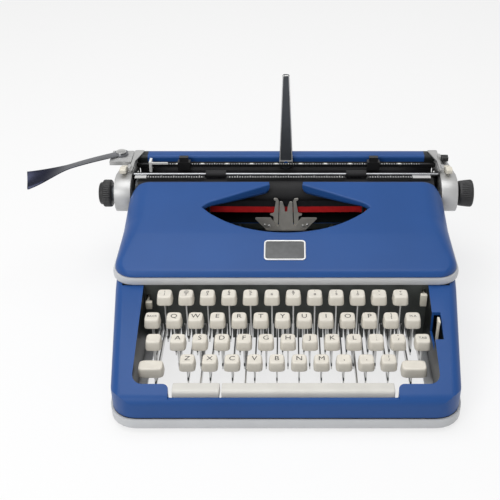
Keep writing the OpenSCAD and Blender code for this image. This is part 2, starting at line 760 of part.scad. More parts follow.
module cover_hinge_arms() {
  color([0.3, 0.3, 0.32]) both() difference() {
    intersection() {
      cover_solid(cover_wall);
      box([hinge_x, hinge_y - lug_d, hinge_z - hinge_head_r],
        [hinge_x + hinge_lug_t, hinge_y + hinge_head_r, far]);
    }
    translate([hinge_x, hinge_y, hinge_z]) rod_x(hinge_pin_r + pin_clear, 4 * hinge_lug_t);
  }
}
module cover_hinge_pins() {
  color([0.7, 0.7, 0.72]) both() translate([post_in, hinge_y, hinge_z])
    rod_x(hinge_pin_r, 2 * hinge_lug_t + 2 * run_gap + 1);
}

// End housing, drawn for the right side
feed_seat = 4;
bail_pin_l = bail_arm_t + 2 * run_gap + 0.6;
tab_lug_x = housing_in + 2;
tab_lug_w = 3;
tab_w = 6;
release_y = platen_y + 38;
module tab_lug(y) {
  box([tab_lug_x, y - 3.5, housing_top - 1], [tab_lug_x + tab_lug_w, y + 3.5, tab_pivot_z + 2.5]);
  translate([tab_lug_x + tab_lug_w + tab_w / 2, y, tab_pivot_z]) rod_x(tab_pin_r, tab_w + 2);
}
module end_housing() {
  difference() {
    translate([(housing_in + housing_out) / 2, 0, 0]) along_x(housing_w) {
      translate([platen_y, platen_z]) circle(housing_r);
      polygon(rounded([[platen_y, housing_bottom, 0], [housing_rear, housing_bottom, 8],
        [housing_rear, housing_top, 5], [platen_y, housing_top, 0]]));
    }
    translate([housing_in, platen_y, platen_z]) rod_x(shaft_r + pin_clear, 4 * housing_w);
    translate([housing_in, feed_y, feed_z]) rod_x(feed_shaft_r + pin_clear, 2 * feed_seat + 1);
    linear_extrude(far) polygon([[housing_out, platen_y + 6], [housing_out + 1, platen_y + 6],
      [housing_out + 1, housing_rear + 1], [housing_out - housing_taper, housing_rear + 1]]);
  }
  translate([housing_in, bail_pivot_y, bail_pivot_z]) rod_x(bail_pin_r, 2 * bail_pin_l);
  tab_lug(tab_pivot_y);
}
module left_end_housing() { color([0.72, 0.73, 0.74]) mirror([1, 0, 0]) end_housing(); }
module right_end_housing() {
  color([0.72, 0.73, 0.74]) {
    end_housing();
    tab_lug(release_y);
  }
}
wall_low = platen_z + 6;
module paper_table() {
  bed_top = housing_bottom + bed_t;
  color([0.18, 0.33, 0.61]) {
    along_x(2 * housing_in) polygon(rounded([
      [table_front, wall_low, 0], [table_front, table_top, 3], [table_rear, table_top, 3],
      [table_rear, bed_top, 0], [table_rear - table_t, bed_top, 0],
      [table_rear - table_t, table_top - table_t, 1],
      [table_front + table_t, table_top - table_t, 1], [table_front + table_t, wall_low, 0]]));
    box([-housing_in, bed_rear - 6, bed_top], [housing_in, table_rear - 1, bed_top + table_t]);
    translate([0, (table_front + 1 + support_y - support_t) / 2, support_z])
      rod_y(support_pin_r, table_front + 1 - support_y + support_t);
  }
}
// Ring sector round the platen, drawn in Y and Z
module platen_sector(inner, outer, from, to) {
  steps = 12;
  turn = [for (i = [0:steps]) from + (to - from) * i / steps];
  translate([platen_y, platen_z]) polygon(concat([for (a = turn) outer * [cos(a), sin(a)]],
    [for (i = [steps:-1:0]) inner * [cos(turn[i]), sin(turn[i])]]));
}
module paper_deflector() {
  color([0.08, 0.08, 0.09]) along_x(2 * housing_in)
    platen_sector(deflector_in, deflector_in + deflector_t, -22, 60);
}
module margin_rail() {
  color([0.1, 0.1, 0.11]) translate([0, margin_y, margin_z])
    cube([2 * housing_in, margin_s, margin_s], center = true);
}
module rail_slide(x) {
  difference() {
    union() { translate([x, margin_y, margin_z]) children(); }
    translate([x, margin_y, margin_z])
      cube([far / 10, margin_s + 2 * run_gap, margin_s + 2 * run_gap], center = true);
  }
}
stop_half = [6.5, 3.3, 4.5];
stop_grip_h = 6;
module margin_stop(x) {
  color([0.08, 0.08, 0.09]) rail_slide(x) {
    cube(2 * stop_half, center = true);
    translate([0, 0, stop_half.z + stop_grip_h / 2 - 1]) cube([9, 5, stop_grip_h], center = true);
  }
}
left_stop_x = -housing_in + 49;
right_stop_x = housing_in - 64;
guide_x = -housing_in + 16;
module left_margin_stop() { margin_stop(left_stop_x); }
module right_margin_stop() { margin_stop(right_stop_x); }
module paper_guide() {
  color([0.9, 0.9, 0.9]) rail_slide(guide_x) {
    box([-2.5, -7, -5], [2.5, 3.3, 5.5]);
    box([-2.5, -7, 2], [15, -5.5, 5]);
  }
}
module lever_bracket() {
  color([0.5, 0.51, 0.52]) {
    box([lever_pin_x - bracket_out, lever_pin_y - 16, housing_top],
      [-housing_in - 4, lever_pin_y + 9, housing_top + bracket_t]);
    translate([lever_pin_x, lever_pin_y, housing_top])
      cylinder(r = lever_pin_r, h = bracket_t + lever_strip_t + 2 * run_gap + 1);
  }
}
paddle_w = 18;
paddle_l = 40;
paddle_slant = 13;
paddle_rise = 8;
strip_w = 9;
module return_lever() {
  side = strip_w / 2;
  color([0.6, 0.61, 0.62]) translate([lever_pin_x, lever_pin_y, lever_z]) rotate([0, 0, lever_angle]) {
    linear_extrude(lever_strip_t) difference() {
      union() {
        circle(7);
        polygon(rounded([[0, -side, 0], [lever_len, -side, 1], [lever_len + paddle_slant, paddle_w - side, 2],
          [lever_len - 6, paddle_w - side - 3, 20], [lever_len - paddle_l, side, 20], [0, side, 0]]));
      }
      circle(lever_pin_r + pin_clear);
    }
    translate([lever_len - paddle_l, -side, 0]) cube([paddle_l, lever_strip_t, paddle_rise]);
  }
}

// Platen, its shaft, knobs and ratchet
flutes = 24;
flute_r = 0.9;
shaft_half = knob_in + knob_w - 3;
module platen_roller() {
  color([0.07, 0.07, 0.08]) translate([0, platen_y, platen_z]) difference() {
    rod_x(platen_r, platen_len);
    rod_x(shaft_r, platen_len + 2);
  }
}
module platen_shaft() {
  color([0.7, 0.7, 0.72]) translate([0, platen_y, platen_z]) rod_x(shaft_r, 2 * shaft_half);
}
module platen_knob() {
  translate([knob_in, platen_y, platen_z]) rotate([90, 0, 90]) difference() {
    union() {
      linear_extrude(knob_w - 2) difference() {
        circle(knob_r);
        for (i = [0:flutes - 1]) rotate(i * 360 / flutes) translate([knob_r, 0]) circle(flute_r);
      }
      cylinder(r = knob_r - 2.5, h = knob_w);
    }
    translate([0, 0, -1]) cylinder(r = shaft_r, h = shaft_half - knob_in + 1);
  }
}
module left_platen_knob() { color([0.08, 0.08, 0.09]) mirror([1, 0, 0]) platen_knob(); }
module right_platen_knob() { color([0.08, 0.08, 0.09]) platen_knob(); }
ratchet_teeth = 30;
ratchet_r = 14;
ratchet_w = 3;
module line_space_ratchet() {
  color([0.6, 0.6, 0.62]) translate([-platen_len / 2 - ratchet_w / 2, platen_y, platen_z]) difference() {
    along_x(ratchet_w) polygon([for (i = [0:2 * ratchet_teeth - 1])
      (ratchet_r - 1.2 * (i % 2)) * [cos(180 * i / ratchet_teeth), sin(180 * i / ratchet_teeth)]]);
    rod_x(shaft_r, 2 * ratchet_w);
  }
}
feed_w = 40;
feed_pitch = 0.245 * platen_len;
module feed_rollers() {
  color([0.12, 0.12, 0.13]) translate([0, feed_y, feed_z]) {
    rod_x(feed_shaft_r, 2 * (housing_in + feed_seat));
    for (share = [-3, -1, 1, 3]) translate([share * feed_pitch / 2, 0, 0]) rod_x(feed_r, feed_w);
  }
}

// Paper bail: bar, scale strip and two bent arms
bail_arm_w = 4;
bail_elbow = [platen_y + 16, platen_z + 20];
scale_half = housing_in - 18;
module bail_link(a, b) {
  side = bail_arm_w / 2 * [-unit(b - a).y, unit(b - a).x];
  polygon([a + side, a - side, b - side, b + side]);
}
module bail_arm() {
  pivot = [bail_pivot_y, bail_pivot_z];
  bar = [bail_y, bail_z];
  translate([bail_arm_x, 0, 0]) along_x(bail_arm_t) difference() {
    union() {
      bail_link(pivot, bail_elbow);
      bail_link(bail_elbow, bar);
      translate(pivot) circle(3.2);
      translate(bail_elbow) circle(bail_arm_w / 2);
      translate(bar) circle(bail_arm_w / 2);
    }
    translate(pivot) circle(bail_pin_r + pin_clear);
  }
}
module paper_bail() {
  color([0.72, 0.73, 0.74]) {
    translate([0, bail_y, bail_z]) rod_x(bail_r, 2 * bail_arm_x);
    both() bail_arm();
    difference() {
      along_x(2 * scale_half) platen_sector(platen_r + 2.2, platen_r + 3.2, bail_angle, bail_angle + 19);
      both() translate([bail_roller_x, bail_y, bail_z])
        rod_x(bail_roller_r + 2 * run_gap, bail_roller_w + 4 * run_gap);
    }
  }
}
module bail_rollers() {
  color([0.1, 0.1, 0.1]) both() translate([bail_roller_x, bail_y, bail_z]) difference() {
    rod_x(bail_roller_r, bail_roller_w);
    rod_x(bail_r + pin_clear, bail_roller_w + 2);
  }
}
module paper_support() {
  color([0.3, 0.31, 0.33]) translate([0, support_y, support_z]) along_y(support_t) difference() {
    union() {
      circle(support_foot);
      polygon(rounded(both_sides([[support_foot, 0, 0], [support_tip, support_len, 2]])));
    }
    circle(support_pin_r + pin_clear);
  }
}

tab_eye_r = 2.7;
// Small lever on a housing: a hub on the lug's pin and a finger tab that reaches forward
module tab_lever(y, reach) {
  x = tab_lug_x + tab_lug_w + run_gap;
  translate([x + tab_w / 2, y, tab_pivot_z]) difference() {
    union() {
      rod_x(tab_eye_r, tab_w);
      along_x(tab_w)
        polygon(rounded([[0, -2, 0], [-reach, 0.5, 1.5], [-reach, 5, 1.5], [-reach + 6, 5.5, 1.5], [0, 2.2, 0]]));
    }
    rod_x(tab_pin_r + pin_clear, tab_w + 2);
  }
}
module paper_release_lever() { color([0.88, 0.86, 0.8]) tab_lever(tab_pivot_y, 14); }
module carriage_release_lever() { color([0.1, 0.1, 0.1]) tab_lever(release_y, 11); }
module line_space_selector() { color([0.88, 0.86, 0.8]) mirror([1, 0, 0]) tab_lever(tab_pivot_y, 14); }

// Keys: a tapered cap on the upright end of a flat lever that turns on the fulcrum rod
cap_r = 2.5;
module key_cap(x, y, z, w) {
  side = [[cap_d / 2, 0, 0], [cap_d / 2 - cap_taper, cap_h, 1]];
  front = [[w / 2, 0, 0], [w / 2 - cap_taper, cap_h, 1]];
  translate([x, y, z - cap_h]) intersection() {
    linear_extrude(cap_h) polygon(rounded(both_sides([[w / 2, -cap_d / 2, cap_r], [w / 2, cap_d / 2, cap_r]])));
    along_x(2 * w) polygon(rounded(both_sides(side)));
    along_y(2 * cap_d) polygon(rounded(both_sides(front)));
  }
}
module key_lever(x, y, top) {
  translate([x, 0, 0]) along_x(lever_t) difference() {
    union() {
      polygon([[fulcrum_y, lever_low], [fulcrum_y, lever_top], [y + stem_d / 2, lever_top],
        [y + stem_d / 2, top], [y - stem_d / 2, top], [y - stem_d / 2, lever_low]]);
      translate([fulcrum_y, fulcrum_z]) circle(hub_r);
    }
    translate([fulcrum_y, fulcrum_z]) circle(fulcrum_r + pin_clear);
  }
}
module key(row, x, w) {
  color([0.89, 0.87, 0.83]) key_cap(x, row_y(row), row_z(row), w);
  color([0.55, 0.55, 0.56]) key_lever(x, row_y(row), row_z(row) - cap_h);
}
module key_row(row, skip) {
  for (k = [0:row_count[row] - 1]) if (k != skip) key(row, key_x(row, k), cap_w);
}
module number_row_keys() { key_row(3, -1); }
module upper_row_keys() { key_row(2, -1); }
module home_row_keys() { key_row(1, strike_index); }
module lower_row_keys() { key_row(0, -1); }
module strike_key() { key(1, key_x(1, strike_index), cap_w); }
module backspace_key() { key(2, key_x(2, -1), cap_w); }
module margin_release_key() { key(2, key_x(2, 11), cap_w); }
module shift_lock_key() { key(1, lock_x, cap_w); }
module tab_key() { key(1, tab_x, cap_w); }
shift_shaft_r = 2;
shift_shaft_y = fulcrum_y - 12;
shift_shaft_z = lever_low - 4;
module shift_keys() {
  xs = [left_shift_x, right_shift_x];
  y = row_y(0) - shift_front;
  z = row_z(0) - shift_drop;
  for (i = [0, 1]) {
    color([0.89, 0.87, 0.83]) key_cap(xs[i], y, z, shift_w);
    color([0.55, 0.55, 0.56]) key_lever(shift_arms[i], y, z - cap_h);
    color([0.55, 0.55, 0.56]) box([shift_arms[i] - lever_t / 2, shift_shaft_y - 3, shift_shaft_z - 3],
      [shift_arms[i] + lever_t / 2, shift_shaft_y + 3, fulcrum_z]);
  }
  color([0.55, 0.55, 0.56]) translate([(shift_arms[0] + shift_arms[1]) / 2, shift_shaft_y, shift_shaft_z])
    rod_x(shift_shaft_r, shift_arms[1] - shift_arms[0]);
}
module front_bar(x, w) {
  color([0.85, 0.84, 0.82]) translate([x, 0, 0]) along_x(w) polygon(rounded([
    [bar_front, bar_top - bar_h, 1], [bar_front + bar_d, bar_top - bar_h, 1],
    [bar_front + bar_d - 1, bar_top, 1.5], [bar_front + 2, bar_top, 3]]));
}
module bar_arm(x) { color([0.55, 0.55, 0.56]) key_lever(x, bar_front + bar_d / 2, bar_top - bar_h); }
module space_bar() {
  front_bar(space_x, space_w);
  for (x = space_arms) bar_arm(x);
}
module repeat_key() {
  front_bar(repeat_x, repeat_w);
  bar_arm(repeat_arm);
}

// Small setting levers beside the keys
selector_up = 32;
module ribbon_selector() {
  color([0.1, 0.1, 0.1]) translate([selector_x, selector_y, selector_z]) along_x(2) difference() {
    union() {
      circle(3.5);
      polygon([[-2, 0], [2, 0], [2, selector_up - 6], [4, selector_up], [-4, selector_up],
        [-2, selector_up - 6]]);
    }
    circle(screw_r + pin_clear);
  }
}
stub_t = 2;
stub_reach = 14;
stub_tab = [-4.2, 1.4];
module stub_lever(z, tab_half) {
  color([0.1, 0.1, 0.1]) translate([stub_x, stub_pivot_y, z]) difference() {
    union() {
      rod_x(2.8, stub_t);
      box([-stub_t / 2, -stub_reach - 1, -1.5], [stub_t / 2, 0, 1.5]);
      box([stub_tab[0], -stub_reach - 4, -tab_half], [stub_tab[1], -stub_reach, tab_half]);
    }
    rod_x(stub_pin_r + pin_clear, 2 * stub_t);
  }
}
module touch_lever() { stub_lever(stub_z[0], 6); }
module stencil_lever() { mirror([1, 0, 0]) stub_lever(stub_z[1], 3.5); }

rubber_feet();
base_tray();
lower_casing();
casing_screws();
trim_band();
side_frames();
key_comb();
fulcrum_rod();
type_segment();
typebar_bank();
type_guide();
ribbon();
carriage_rails();
cover_hinge_pins();
top_cover();
badge_plate();
cover_hinge_arms();
carriage_bed();
left_end_housing();
right_end_housing();
paper_table();
paper_deflector();
margin_rail();
lever_bracket();
platen_roller();
platen_shaft();
left_platen_knob();
right_platen_knob();
line_space_ratchet();
feed_rollers();
return_lever();
paper_bail();
bail_rollers();
paper_support();
left_margin_stop();
right_margin_stop();
paper_guide();
paper_release_lever();
carriage_release_lever();
line_space_selector();
number_row_keys();
upper_row_keys();
home_row_keys();
lower_row_keys();
strike_key();
strike_typebar();
ribbon_vibrator();
space_bar();
repeat_key();
shift_keys();
shift_lock_key();
backspace_key();
margin_release_key();
tab_key();
left_ribbon_spool();
right_ribbon_spool();
ribbon_selector();
touch_lever();
stencil_lever();
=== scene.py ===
# %% [markdown]
# # A portable typewriter, dressed step by step
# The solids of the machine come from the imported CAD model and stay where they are. This lesson
# gives them finishes, and replaces the ones whose real shape is softer or finer than a solid
# shows: the cover, the badge, the keys, the knobs, the bail, the return lever, the paper guide,
# and the ribbon with its guide and vibrator. The frame is that of the CAD model: X to the typist's
# right, Y to the rear, Z up, in metres. Shapes are written in millimetres and scaled once, when
# their points go into a mesh.

# %% Load the frame
import math
import bmesh
import bpy
import numpy as np
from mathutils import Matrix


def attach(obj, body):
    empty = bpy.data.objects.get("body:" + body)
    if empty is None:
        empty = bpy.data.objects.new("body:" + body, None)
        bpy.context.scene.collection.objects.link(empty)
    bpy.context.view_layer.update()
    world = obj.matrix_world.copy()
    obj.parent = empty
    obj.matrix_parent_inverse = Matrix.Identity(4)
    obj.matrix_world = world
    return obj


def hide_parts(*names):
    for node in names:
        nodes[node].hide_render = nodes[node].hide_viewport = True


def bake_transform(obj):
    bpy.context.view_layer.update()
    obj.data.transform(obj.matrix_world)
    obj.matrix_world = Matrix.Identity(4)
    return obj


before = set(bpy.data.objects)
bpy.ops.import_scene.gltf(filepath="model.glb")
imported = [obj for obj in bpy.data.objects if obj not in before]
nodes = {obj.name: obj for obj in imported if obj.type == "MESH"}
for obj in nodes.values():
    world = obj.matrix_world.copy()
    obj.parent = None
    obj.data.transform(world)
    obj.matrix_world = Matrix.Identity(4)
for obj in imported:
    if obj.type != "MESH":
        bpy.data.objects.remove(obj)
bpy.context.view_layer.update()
MM = 0.001
QUARTER, FULL = np.pi / 2, 2 * np.pi

# %% [markdown]
# ## Camera
# The photograph was taken from the front and about 33 degrees above the table. A long lens keeps
# the sides nearly parallel. The machine stands right of the picture's middle. The camera could be
# turned towards that, but then the keys would run askew, so it stays square to the machine and
# the lens is shifted a little.

# %% Camera
def add_object(name, data):
    """Puts a camera, a lamp or a mesh into the scene as an object at the origin."""
    obj = bpy.data.objects.new(name, data)
    bpy.context.scene.collection.objects.link(obj)
    return obj


LOOKS_DOWN, SENSOR, LENS, LENS_SHIFT = 33.0, 36.0, 62.9, -0.072
eye = add_object("photo_camera", bpy.data.cameras.new("photo_camera"))
eye.location = (0.0, -0.6773, 0.5213)
eye.rotation_euler = (math.radians(90.0 - LOOKS_DOWN), 0.0, 0.0)
eye.data.sensor_width = SENSOR
eye.data.lens = LENS
eye.data.shift_x = LENS_SHIFT
eye.data.clip_start = 0.01
bpy.context.scene.camera = eye
print("camera", tuple(round(v, 3) for v in eye.location))

# %% [markdown]
# ## Light and floor
# Soft studio light: an even pale world, a wide panel overhead and a smaller one at the front left.
# Their level is plain, so a colour renders about as it is written. More light could whiten the
# surround, but it would wash out the machine, so the white is the floor's and the sky's own colour
# as the camera sees it. In mirrors the sky is white at the horizon and greyer overhead, so metal
# shows its bends.

# %% Shader nodes
def wired(tree, kind, inputs, **choices):
    """Adds a shader node and sets its choices. An input is linked where it is given another node's
    output, and any other value is written on the input itself."""
    node = tree.nodes.new("ShaderNode" + kind)
    for choice, value in choices.items():
        setattr(node, choice, value)
    for name, value in inputs.items():
        if isinstance(value, bpy.types.NodeSocket):
            tree.links.new(value, node.inputs[name])
        else:
            node.inputs[name].default_value = value
    return node


def math_node(tree, operation, first, second):
    """Output of one sum on two values, such as the larger of both or their product."""
    return wired(tree, "Math", {0: first, 1: second}, operation=operation).outputs[0]


def background_share(tree):
    """One where the ray comes from the camera, a mirror or glass: the larger of three flags."""
    flags = wired(tree, "LightPath", {}).outputs
    mirrored = math_node(tree, "MAXIMUM", flags["Is Camera Ray"], flags["Is Glossy Ray"])
    return math_node(tree, "MAXIMUM", mirrored, flags["Is Transmission Ray"])


print("shader helpers ready")

# %% Studio light
SKY_LIGHT, HORIZON, ZENITH = 0.42, 1.0, 0.40
AIM = (0.0, 0.0, 0.06)


def area_lamp(name, place, size, watts):
    """A square soft panel at a place, turned so that its face looks at the aim point."""
    lamp = bpy.data.lights.new(name, "AREA")
    lamp.shape = "SQUARE"
    lamp.size = size
    lamp.energy = watts
    obj = add_object(name, lamp)
    obj.location = place
    way = np.subtract(AIM, place)
    tilt = math.atan2(math.hypot(way[0], way[1]), -way[2])
    obj.rotation_euler = (tilt, 0.0, math.atan2(-way[0], way[1]))


world = bpy.data.worlds.new("studio")
bpy.context.scene.world = world
world.use_nodes = True
tree = world.node_tree
surround = tree.nodes["Background"].inputs
surround["Color"].default_value = (1.0, 1.0, 1.0, 1.0)
sky = wired(tree, "TexCoord", {}).outputs["Generated"]
height = wired(tree, "SeparateXYZ", {0: sky}).outputs["Z"]
shown = wired(tree, "MapRange", {"Value": height, "To Min": HORIZON, "To Max": ZENITH}).outputs[0]
glow = wired(tree, "MapRange", {"Value": background_share(tree), "To Min": SKY_LIGHT, "To Max": shown})
tree.links.new(glow.outputs[0], surround["Strength"])
area_lamp("overhead_panel", (-0.15, 0.05, 1.35), size=1.1, watts=11.0)
area_lamp("front_panel", (-0.75, -1.1, 0.95), size=0.7, watts=7.0)
bpy.context.scene.view_settings.view_transform = "Standard"
print("sky and two panels in place")

# %% Floor
FLOOR_HALF, FLOOR_GREY, FLOOR_WHITE = 3.0, 0.88, 0.72
floor_mesh = bpy.data.meshes.new("floor")
floor_corners = FLOOR_HALF * np.array([(-1, -1, 0), (1, -1, 0), (1, 1, 0), (-1, 1, 0)])
floor_mesh.from_pydata(floor_corners.tolist(), [], [(0, 1, 2, 3)])
floor = add_object("floor", floor_mesh)
floor_mat = bpy.data.materials.new("pale_floor")
floor_mat.use_nodes = True
tree = floor_mat.node_tree
matt = tree.nodes["Principled BSDF"]
matt.inputs["Base Color"].default_value = (FLOOR_GREY, FLOOR_GREY, FLOOR_GREY, 1.0)
matt.inputs["Roughness"].default_value = 0.9
white = wired(tree, "Emission", {})
white_share = math_node(tree, "MULTIPLY", background_share(tree), FLOOR_WHITE)
blend = wired(tree, "MixShader", {0: white_share, 1: matt.outputs[0], 2: white.outputs[0]})
tree.links.new(blend.outputs[0], tree.nodes["Material Output"].inputs["Surface"])
floor_mesh.materials.append(floor_mat)
print("floor", 2 * FLOOR_HALF, "m wide")

# %% [markdown]
# ## Finishes
# Each finish is one node tree on Object coordinates, so a pattern keeps its real size on every
# piece. A slow noise shifts the colour a little, as paint and moulded plastic do. A fast noise
# roughens the gloss and feeds a bump: orange peel on enamel, fine grain on plastic, drawn lines
# on steel. Photographs of surfaces would be another way, but they stretch on curved pieces. Shade
# is painted into the casing's colour: it turns black inside the keyboard well, under the cover and
# on the deck under the carriage, and a thin line of painted shade runs along its foot. The paper
# table's ends by the housings get painted shade too, and the return lever's blade fades to dark
# navy towards its end, a painted reflection. Such zones are boxes in space, which need no cutting
# of the solid.

# %% Zones and fades
def mixed_in(tree, share, colour_out, colour):
    """Goes from a colour output to another colour by a share from zero to one."""
    inputs = {"Factor": share, "A": colour_out, "B": (*colour, 1.0)}
    return wired(tree, "Mix", inputs, data_type="RGBA").outputs["Result"]


def darkened(tree, where, colour_out, low, high, dark, steep):
    """Mixes in a dark colour inside a box in metres: the product of one greater-than and one
    less-than for each axis, times one where the normal's upward part is under steep."""
    place = wired(tree, "SeparateXYZ", {0: where["Object"]}).outputs
    upward = wired(tree, "SeparateXYZ", {0: where["Normal"]}).outputs["Z"]
    inside = math_node(tree, "LESS_THAN", upward, steep)
    for axis in range(3):
        for how, bound in (("GREATER_THAN", low[axis]), ("LESS_THAN", high[axis])):
            test = math_node(tree, how, place[axis], bound)
            inside = math_node(tree, "MULTIPLY", inside, test)
    return mixed_in(tree, inside, colour_out, dark)


def faded(tree, where, colour_out, axis, start, end, colour):
    """Mixes towards a colour along one axis: nothing at start, all of it at end, smooth between."""
    place = wired(tree, "SeparateXYZ", {0: where["Object"]}).outputs[axis]
    inputs = {"Value": place, "From Min": start, "From Max": end}
    share = wired(tree, "MapRange", inputs, interpolation_type="SMOOTHSTEP").outputs[0]
    return mixed_in(tree, share, colour_out, colour)


print("zones and fades ready")

# %% Finish builder
GRAIN_DEPTH, LEAST_ROUGH, BLACK_LIFT = 0.05 * MM, 0.02, 0.004
SLOW_DETAIL, FAST_DETAIL, RAMP_STOPS = 4.0, 3.0, (0.3, 0.7)


def finish(name, colour, rough, metal=0.0, spread=0.06, cloud=25.0, grain=900.0, bump=0.05,
           stretch=(1.0, 1.0, 1.0), level=0.5, rough_spread=0.08, zones=(), fade=None):
    """A Principled finish. Colour = base times (1 + spread times slow noise); roughness = base +
    rough_spread times (fast noise - 0.5); bump height = fast noise times the grain's depth. Each
    zone darkens what lies inside a box, and fade runs to another colour along an axis."""
    mat = bpy.data.materials.new(name)
    mat.use_nodes = True
    tree = mat.node_tree
    where = wired(tree, "TexCoord", {}).outputs
    drawn = wired(tree, "Mapping", {"Vector": where["Object"], "Scale": stretch}).outputs["Vector"]
    slow, fast = (wired(tree, "TexNoise", {"Vector": vector, "Scale": size, "Detail": detail}).outputs["Fac"]
                  for vector, size, detail in ((where["Object"], cloud, SLOW_DETAIL),
                                               (drawn, grain, FAST_DETAIL)))
    tint = wired(tree, "ValToRGB", {"Fac": slow})
    low = [max(c * (1.0 - spread), 0.0) for c in colour]
    high = [min(c * (1.0 + spread) + BLACK_LIFT * spread, 1.0) for c in colour]
    for stop, place, shade in zip(tint.color_ramp.elements, RAMP_STOPS, (low, high)):
        stop.position = place
        stop.color = (*shade, 1.0)
    colour_out = tint.outputs["Color"]
    for zone in zones:
        colour_out = darkened(tree, where, colour_out, *zone)
    if fade:
        colour_out = faded(tree, where, colour_out, *fade)
    dull, shiny = min(rough + rough_spread / 2, 1.0), max(rough - rough_spread / 2, LEAST_ROUGH)
    gloss = wired(tree, "MapRange", {"Value": fast, "To Min": shiny, "To Max": dull})
    relief = wired(tree, "Bump", {"Height": fast, "Strength": bump, "Distance": GRAIN_DEPTH})
    shader = tree.nodes["Principled BSDF"].inputs
    shader["Metallic"].default_value = metal
    shader["Specular IOR Level"].default_value = level
    tree.links.new(colour_out, shader["Base Color"])
    tree.links.new(gloss.outputs[0], shader["Roughness"])
    tree.links.new(relief.outputs["Normal"], shader["Normal"])
    return mat


print("finish builder ready")

# %% Blue enamel
BLUE, PAINTED_SHADE_DARK, SEAM_SHADE_DARK = (0.014, 0.072, 0.258), (0.014, 0.016, 0.016), (0.010, 0.014, 0.030)
WALLS, SLOPES, ALL_SIDES = 0.5, 0.9, 2.0
ENAMEL = dict(colour=BLUE, rough=0.38, spread=0.06, cloud=14, grain=1500, bump=0.10, level=0.28)
# Painted shade: the casing's colour turns near black on the upright walls of the keyboard well.
well_painted_shade = ((-0.1276, -0.1352, 0.005), (0.1276, -0.037, 0.0765), PAINTED_SHADE_DARK, WALLS)
# Painted shade: near black on the casing's slopes and walls under the cover, behind the trim.
under_cover_painted_shade = ((-0.1516, -0.0270, 0.005), (0.1516, 0.0746, 0.0775), PAINTED_SHADE_DARK, SLOPES)
# Painted shade: near black on the deck under the carriage and platen.
deck_painted_shade = ((-0.1516, 0.07, 0.0655), (0.1516, 0.131, 0.0665), PAINTED_SHADE_DARK, ALL_SIDES)
# Painted shade: a thin near-black line round the casing's foot, where it meets the base rim.
seam_painted_shade = ((-0.16, -0.16, 0.0120), (0.16, 0.16, 0.0142), SEAM_SHADE_DARK, ALL_SIDES)
# Painted shade: the paper table's ends beside and under the end housings are near black.
table_end_painted_shade = [((x0, 0.12, 0.06), (x1, 0.16, 0.12), PAINTED_SHADE_DARK, ALL_SIDES)
              for x0, x1 in ((-0.16, -0.1435), (0.1435, 0.16))]
blue_enamel = finish("blue_enamel", **ENAMEL)
casing_enamel_painted_shade = finish("casing_enamel_painted_shade", **ENAMEL, zones=[well_painted_shade, under_cover_painted_shade, deck_painted_shade, seam_painted_shade])
table_enamel_painted_shade = finish("table_enamel_painted_shade", **ENAMEL, zones=table_end_painted_shade)
print("blue enamel, plain and with dark zones")

# %% Dark and pale finishes
BLACK = dict(spread=0.2, cloud=50, grain=1600, bump=0.08)
CLOTH = dict(cloud=200, grain=5000, bump=0.35, level=0.2)
INK = dict(rough=0.6, cloud=300, grain=3000, bump=0.05)
pale_rim = finish("pale_rim", (0.55, 0.56, 0.575), 0.34, spread=0.04, cloud=30, grain=1400, bump=0.08)
dark_frame = finish("dark_frame", (0.018, 0.022, 0.020), 0.42,
                    spread=0.25, cloud=60, grain=1200, bump=0.15)
comb_metal = finish("comb_metal", (0.055, 0.062, 0.058), 0.45,
                    spread=0.2, cloud=60, grain=1200, bump=0.15)
black_enamel = finish("black_enamel", (0.010, 0.010, 0.011), 0.28, **BLACK)
pan_black = finish("pan_black", (0.008, 0.008, 0.009), 0.55, level=0.18, **BLACK)
moulded_black = finish("moulded_black", (0.012, 0.012, 0.013), 0.40,
                       spread=0.2, cloud=70, grain=2200, bump=0.25)
roller_rubber = finish("roller_rubber", (0.010, 0.010, 0.011), 0.55,
                       spread=0.25, cloud=40, grain=2600, bump=0.35, level=0.25)
foot_rubber = finish("foot_rubber", (0.016, 0.016, 0.017), 0.8,
                     spread=0.3, cloud=90, grain=1800, bump=0.5)
ivory_plastic = finish("ivory_plastic", (0.74, 0.70, 0.62), 0.42,
                       spread=0.035, cloud=90, grain=2400, bump=0.12)
bar_plastic = finish("bar_plastic", (0.66, 0.645, 0.60), 0.42,
                     spread=0.04, cloud=60, grain=2400, bump=0.12)
cream_plastic = finish("cream_plastic", (0.72, 0.68, 0.58), 0.4,
                       spread=0.05, cloud=120, grain=2400, bump=0.15)
white_plastic = finish("white_plastic", (0.78, 0.78, 0.77), 0.4,
                       spread=0.04, cloud=120, grain=2400, bump=0.15)
badge_grey = finish("badge_grey", (0.095, 0.098, 0.10), 0.45,
                    spread=0.12, cloud=200, grain=2400, bump=0.2)
red_cloth = finish("red_cloth", (0.50, 0.012, 0.014), 0.7, spread=0.12, **CLOTH)
black_cloth = finish("black_cloth", (0.010, 0.010, 0.012), 0.75, spread=0.2, **CLOTH)
ink_black = finish("ink_black", (0.018, 0.017, 0.017), spread=0.3, **INK)
ink_white = finish("ink_white", (0.72, 0.72, 0.70), spread=0.06, **INK)
print("paints, plastics, cloths and inks")

# %% Metals
STEEL_GREY = (0.60, 0.60, 0.59)
LEVER_SHINE = dict(metal=1.0, spread=0.08, cloud=50, grain=800, bump=0.1,
                   stretch=(0.08, 1.0, 1.0), rough_spread=0.12)
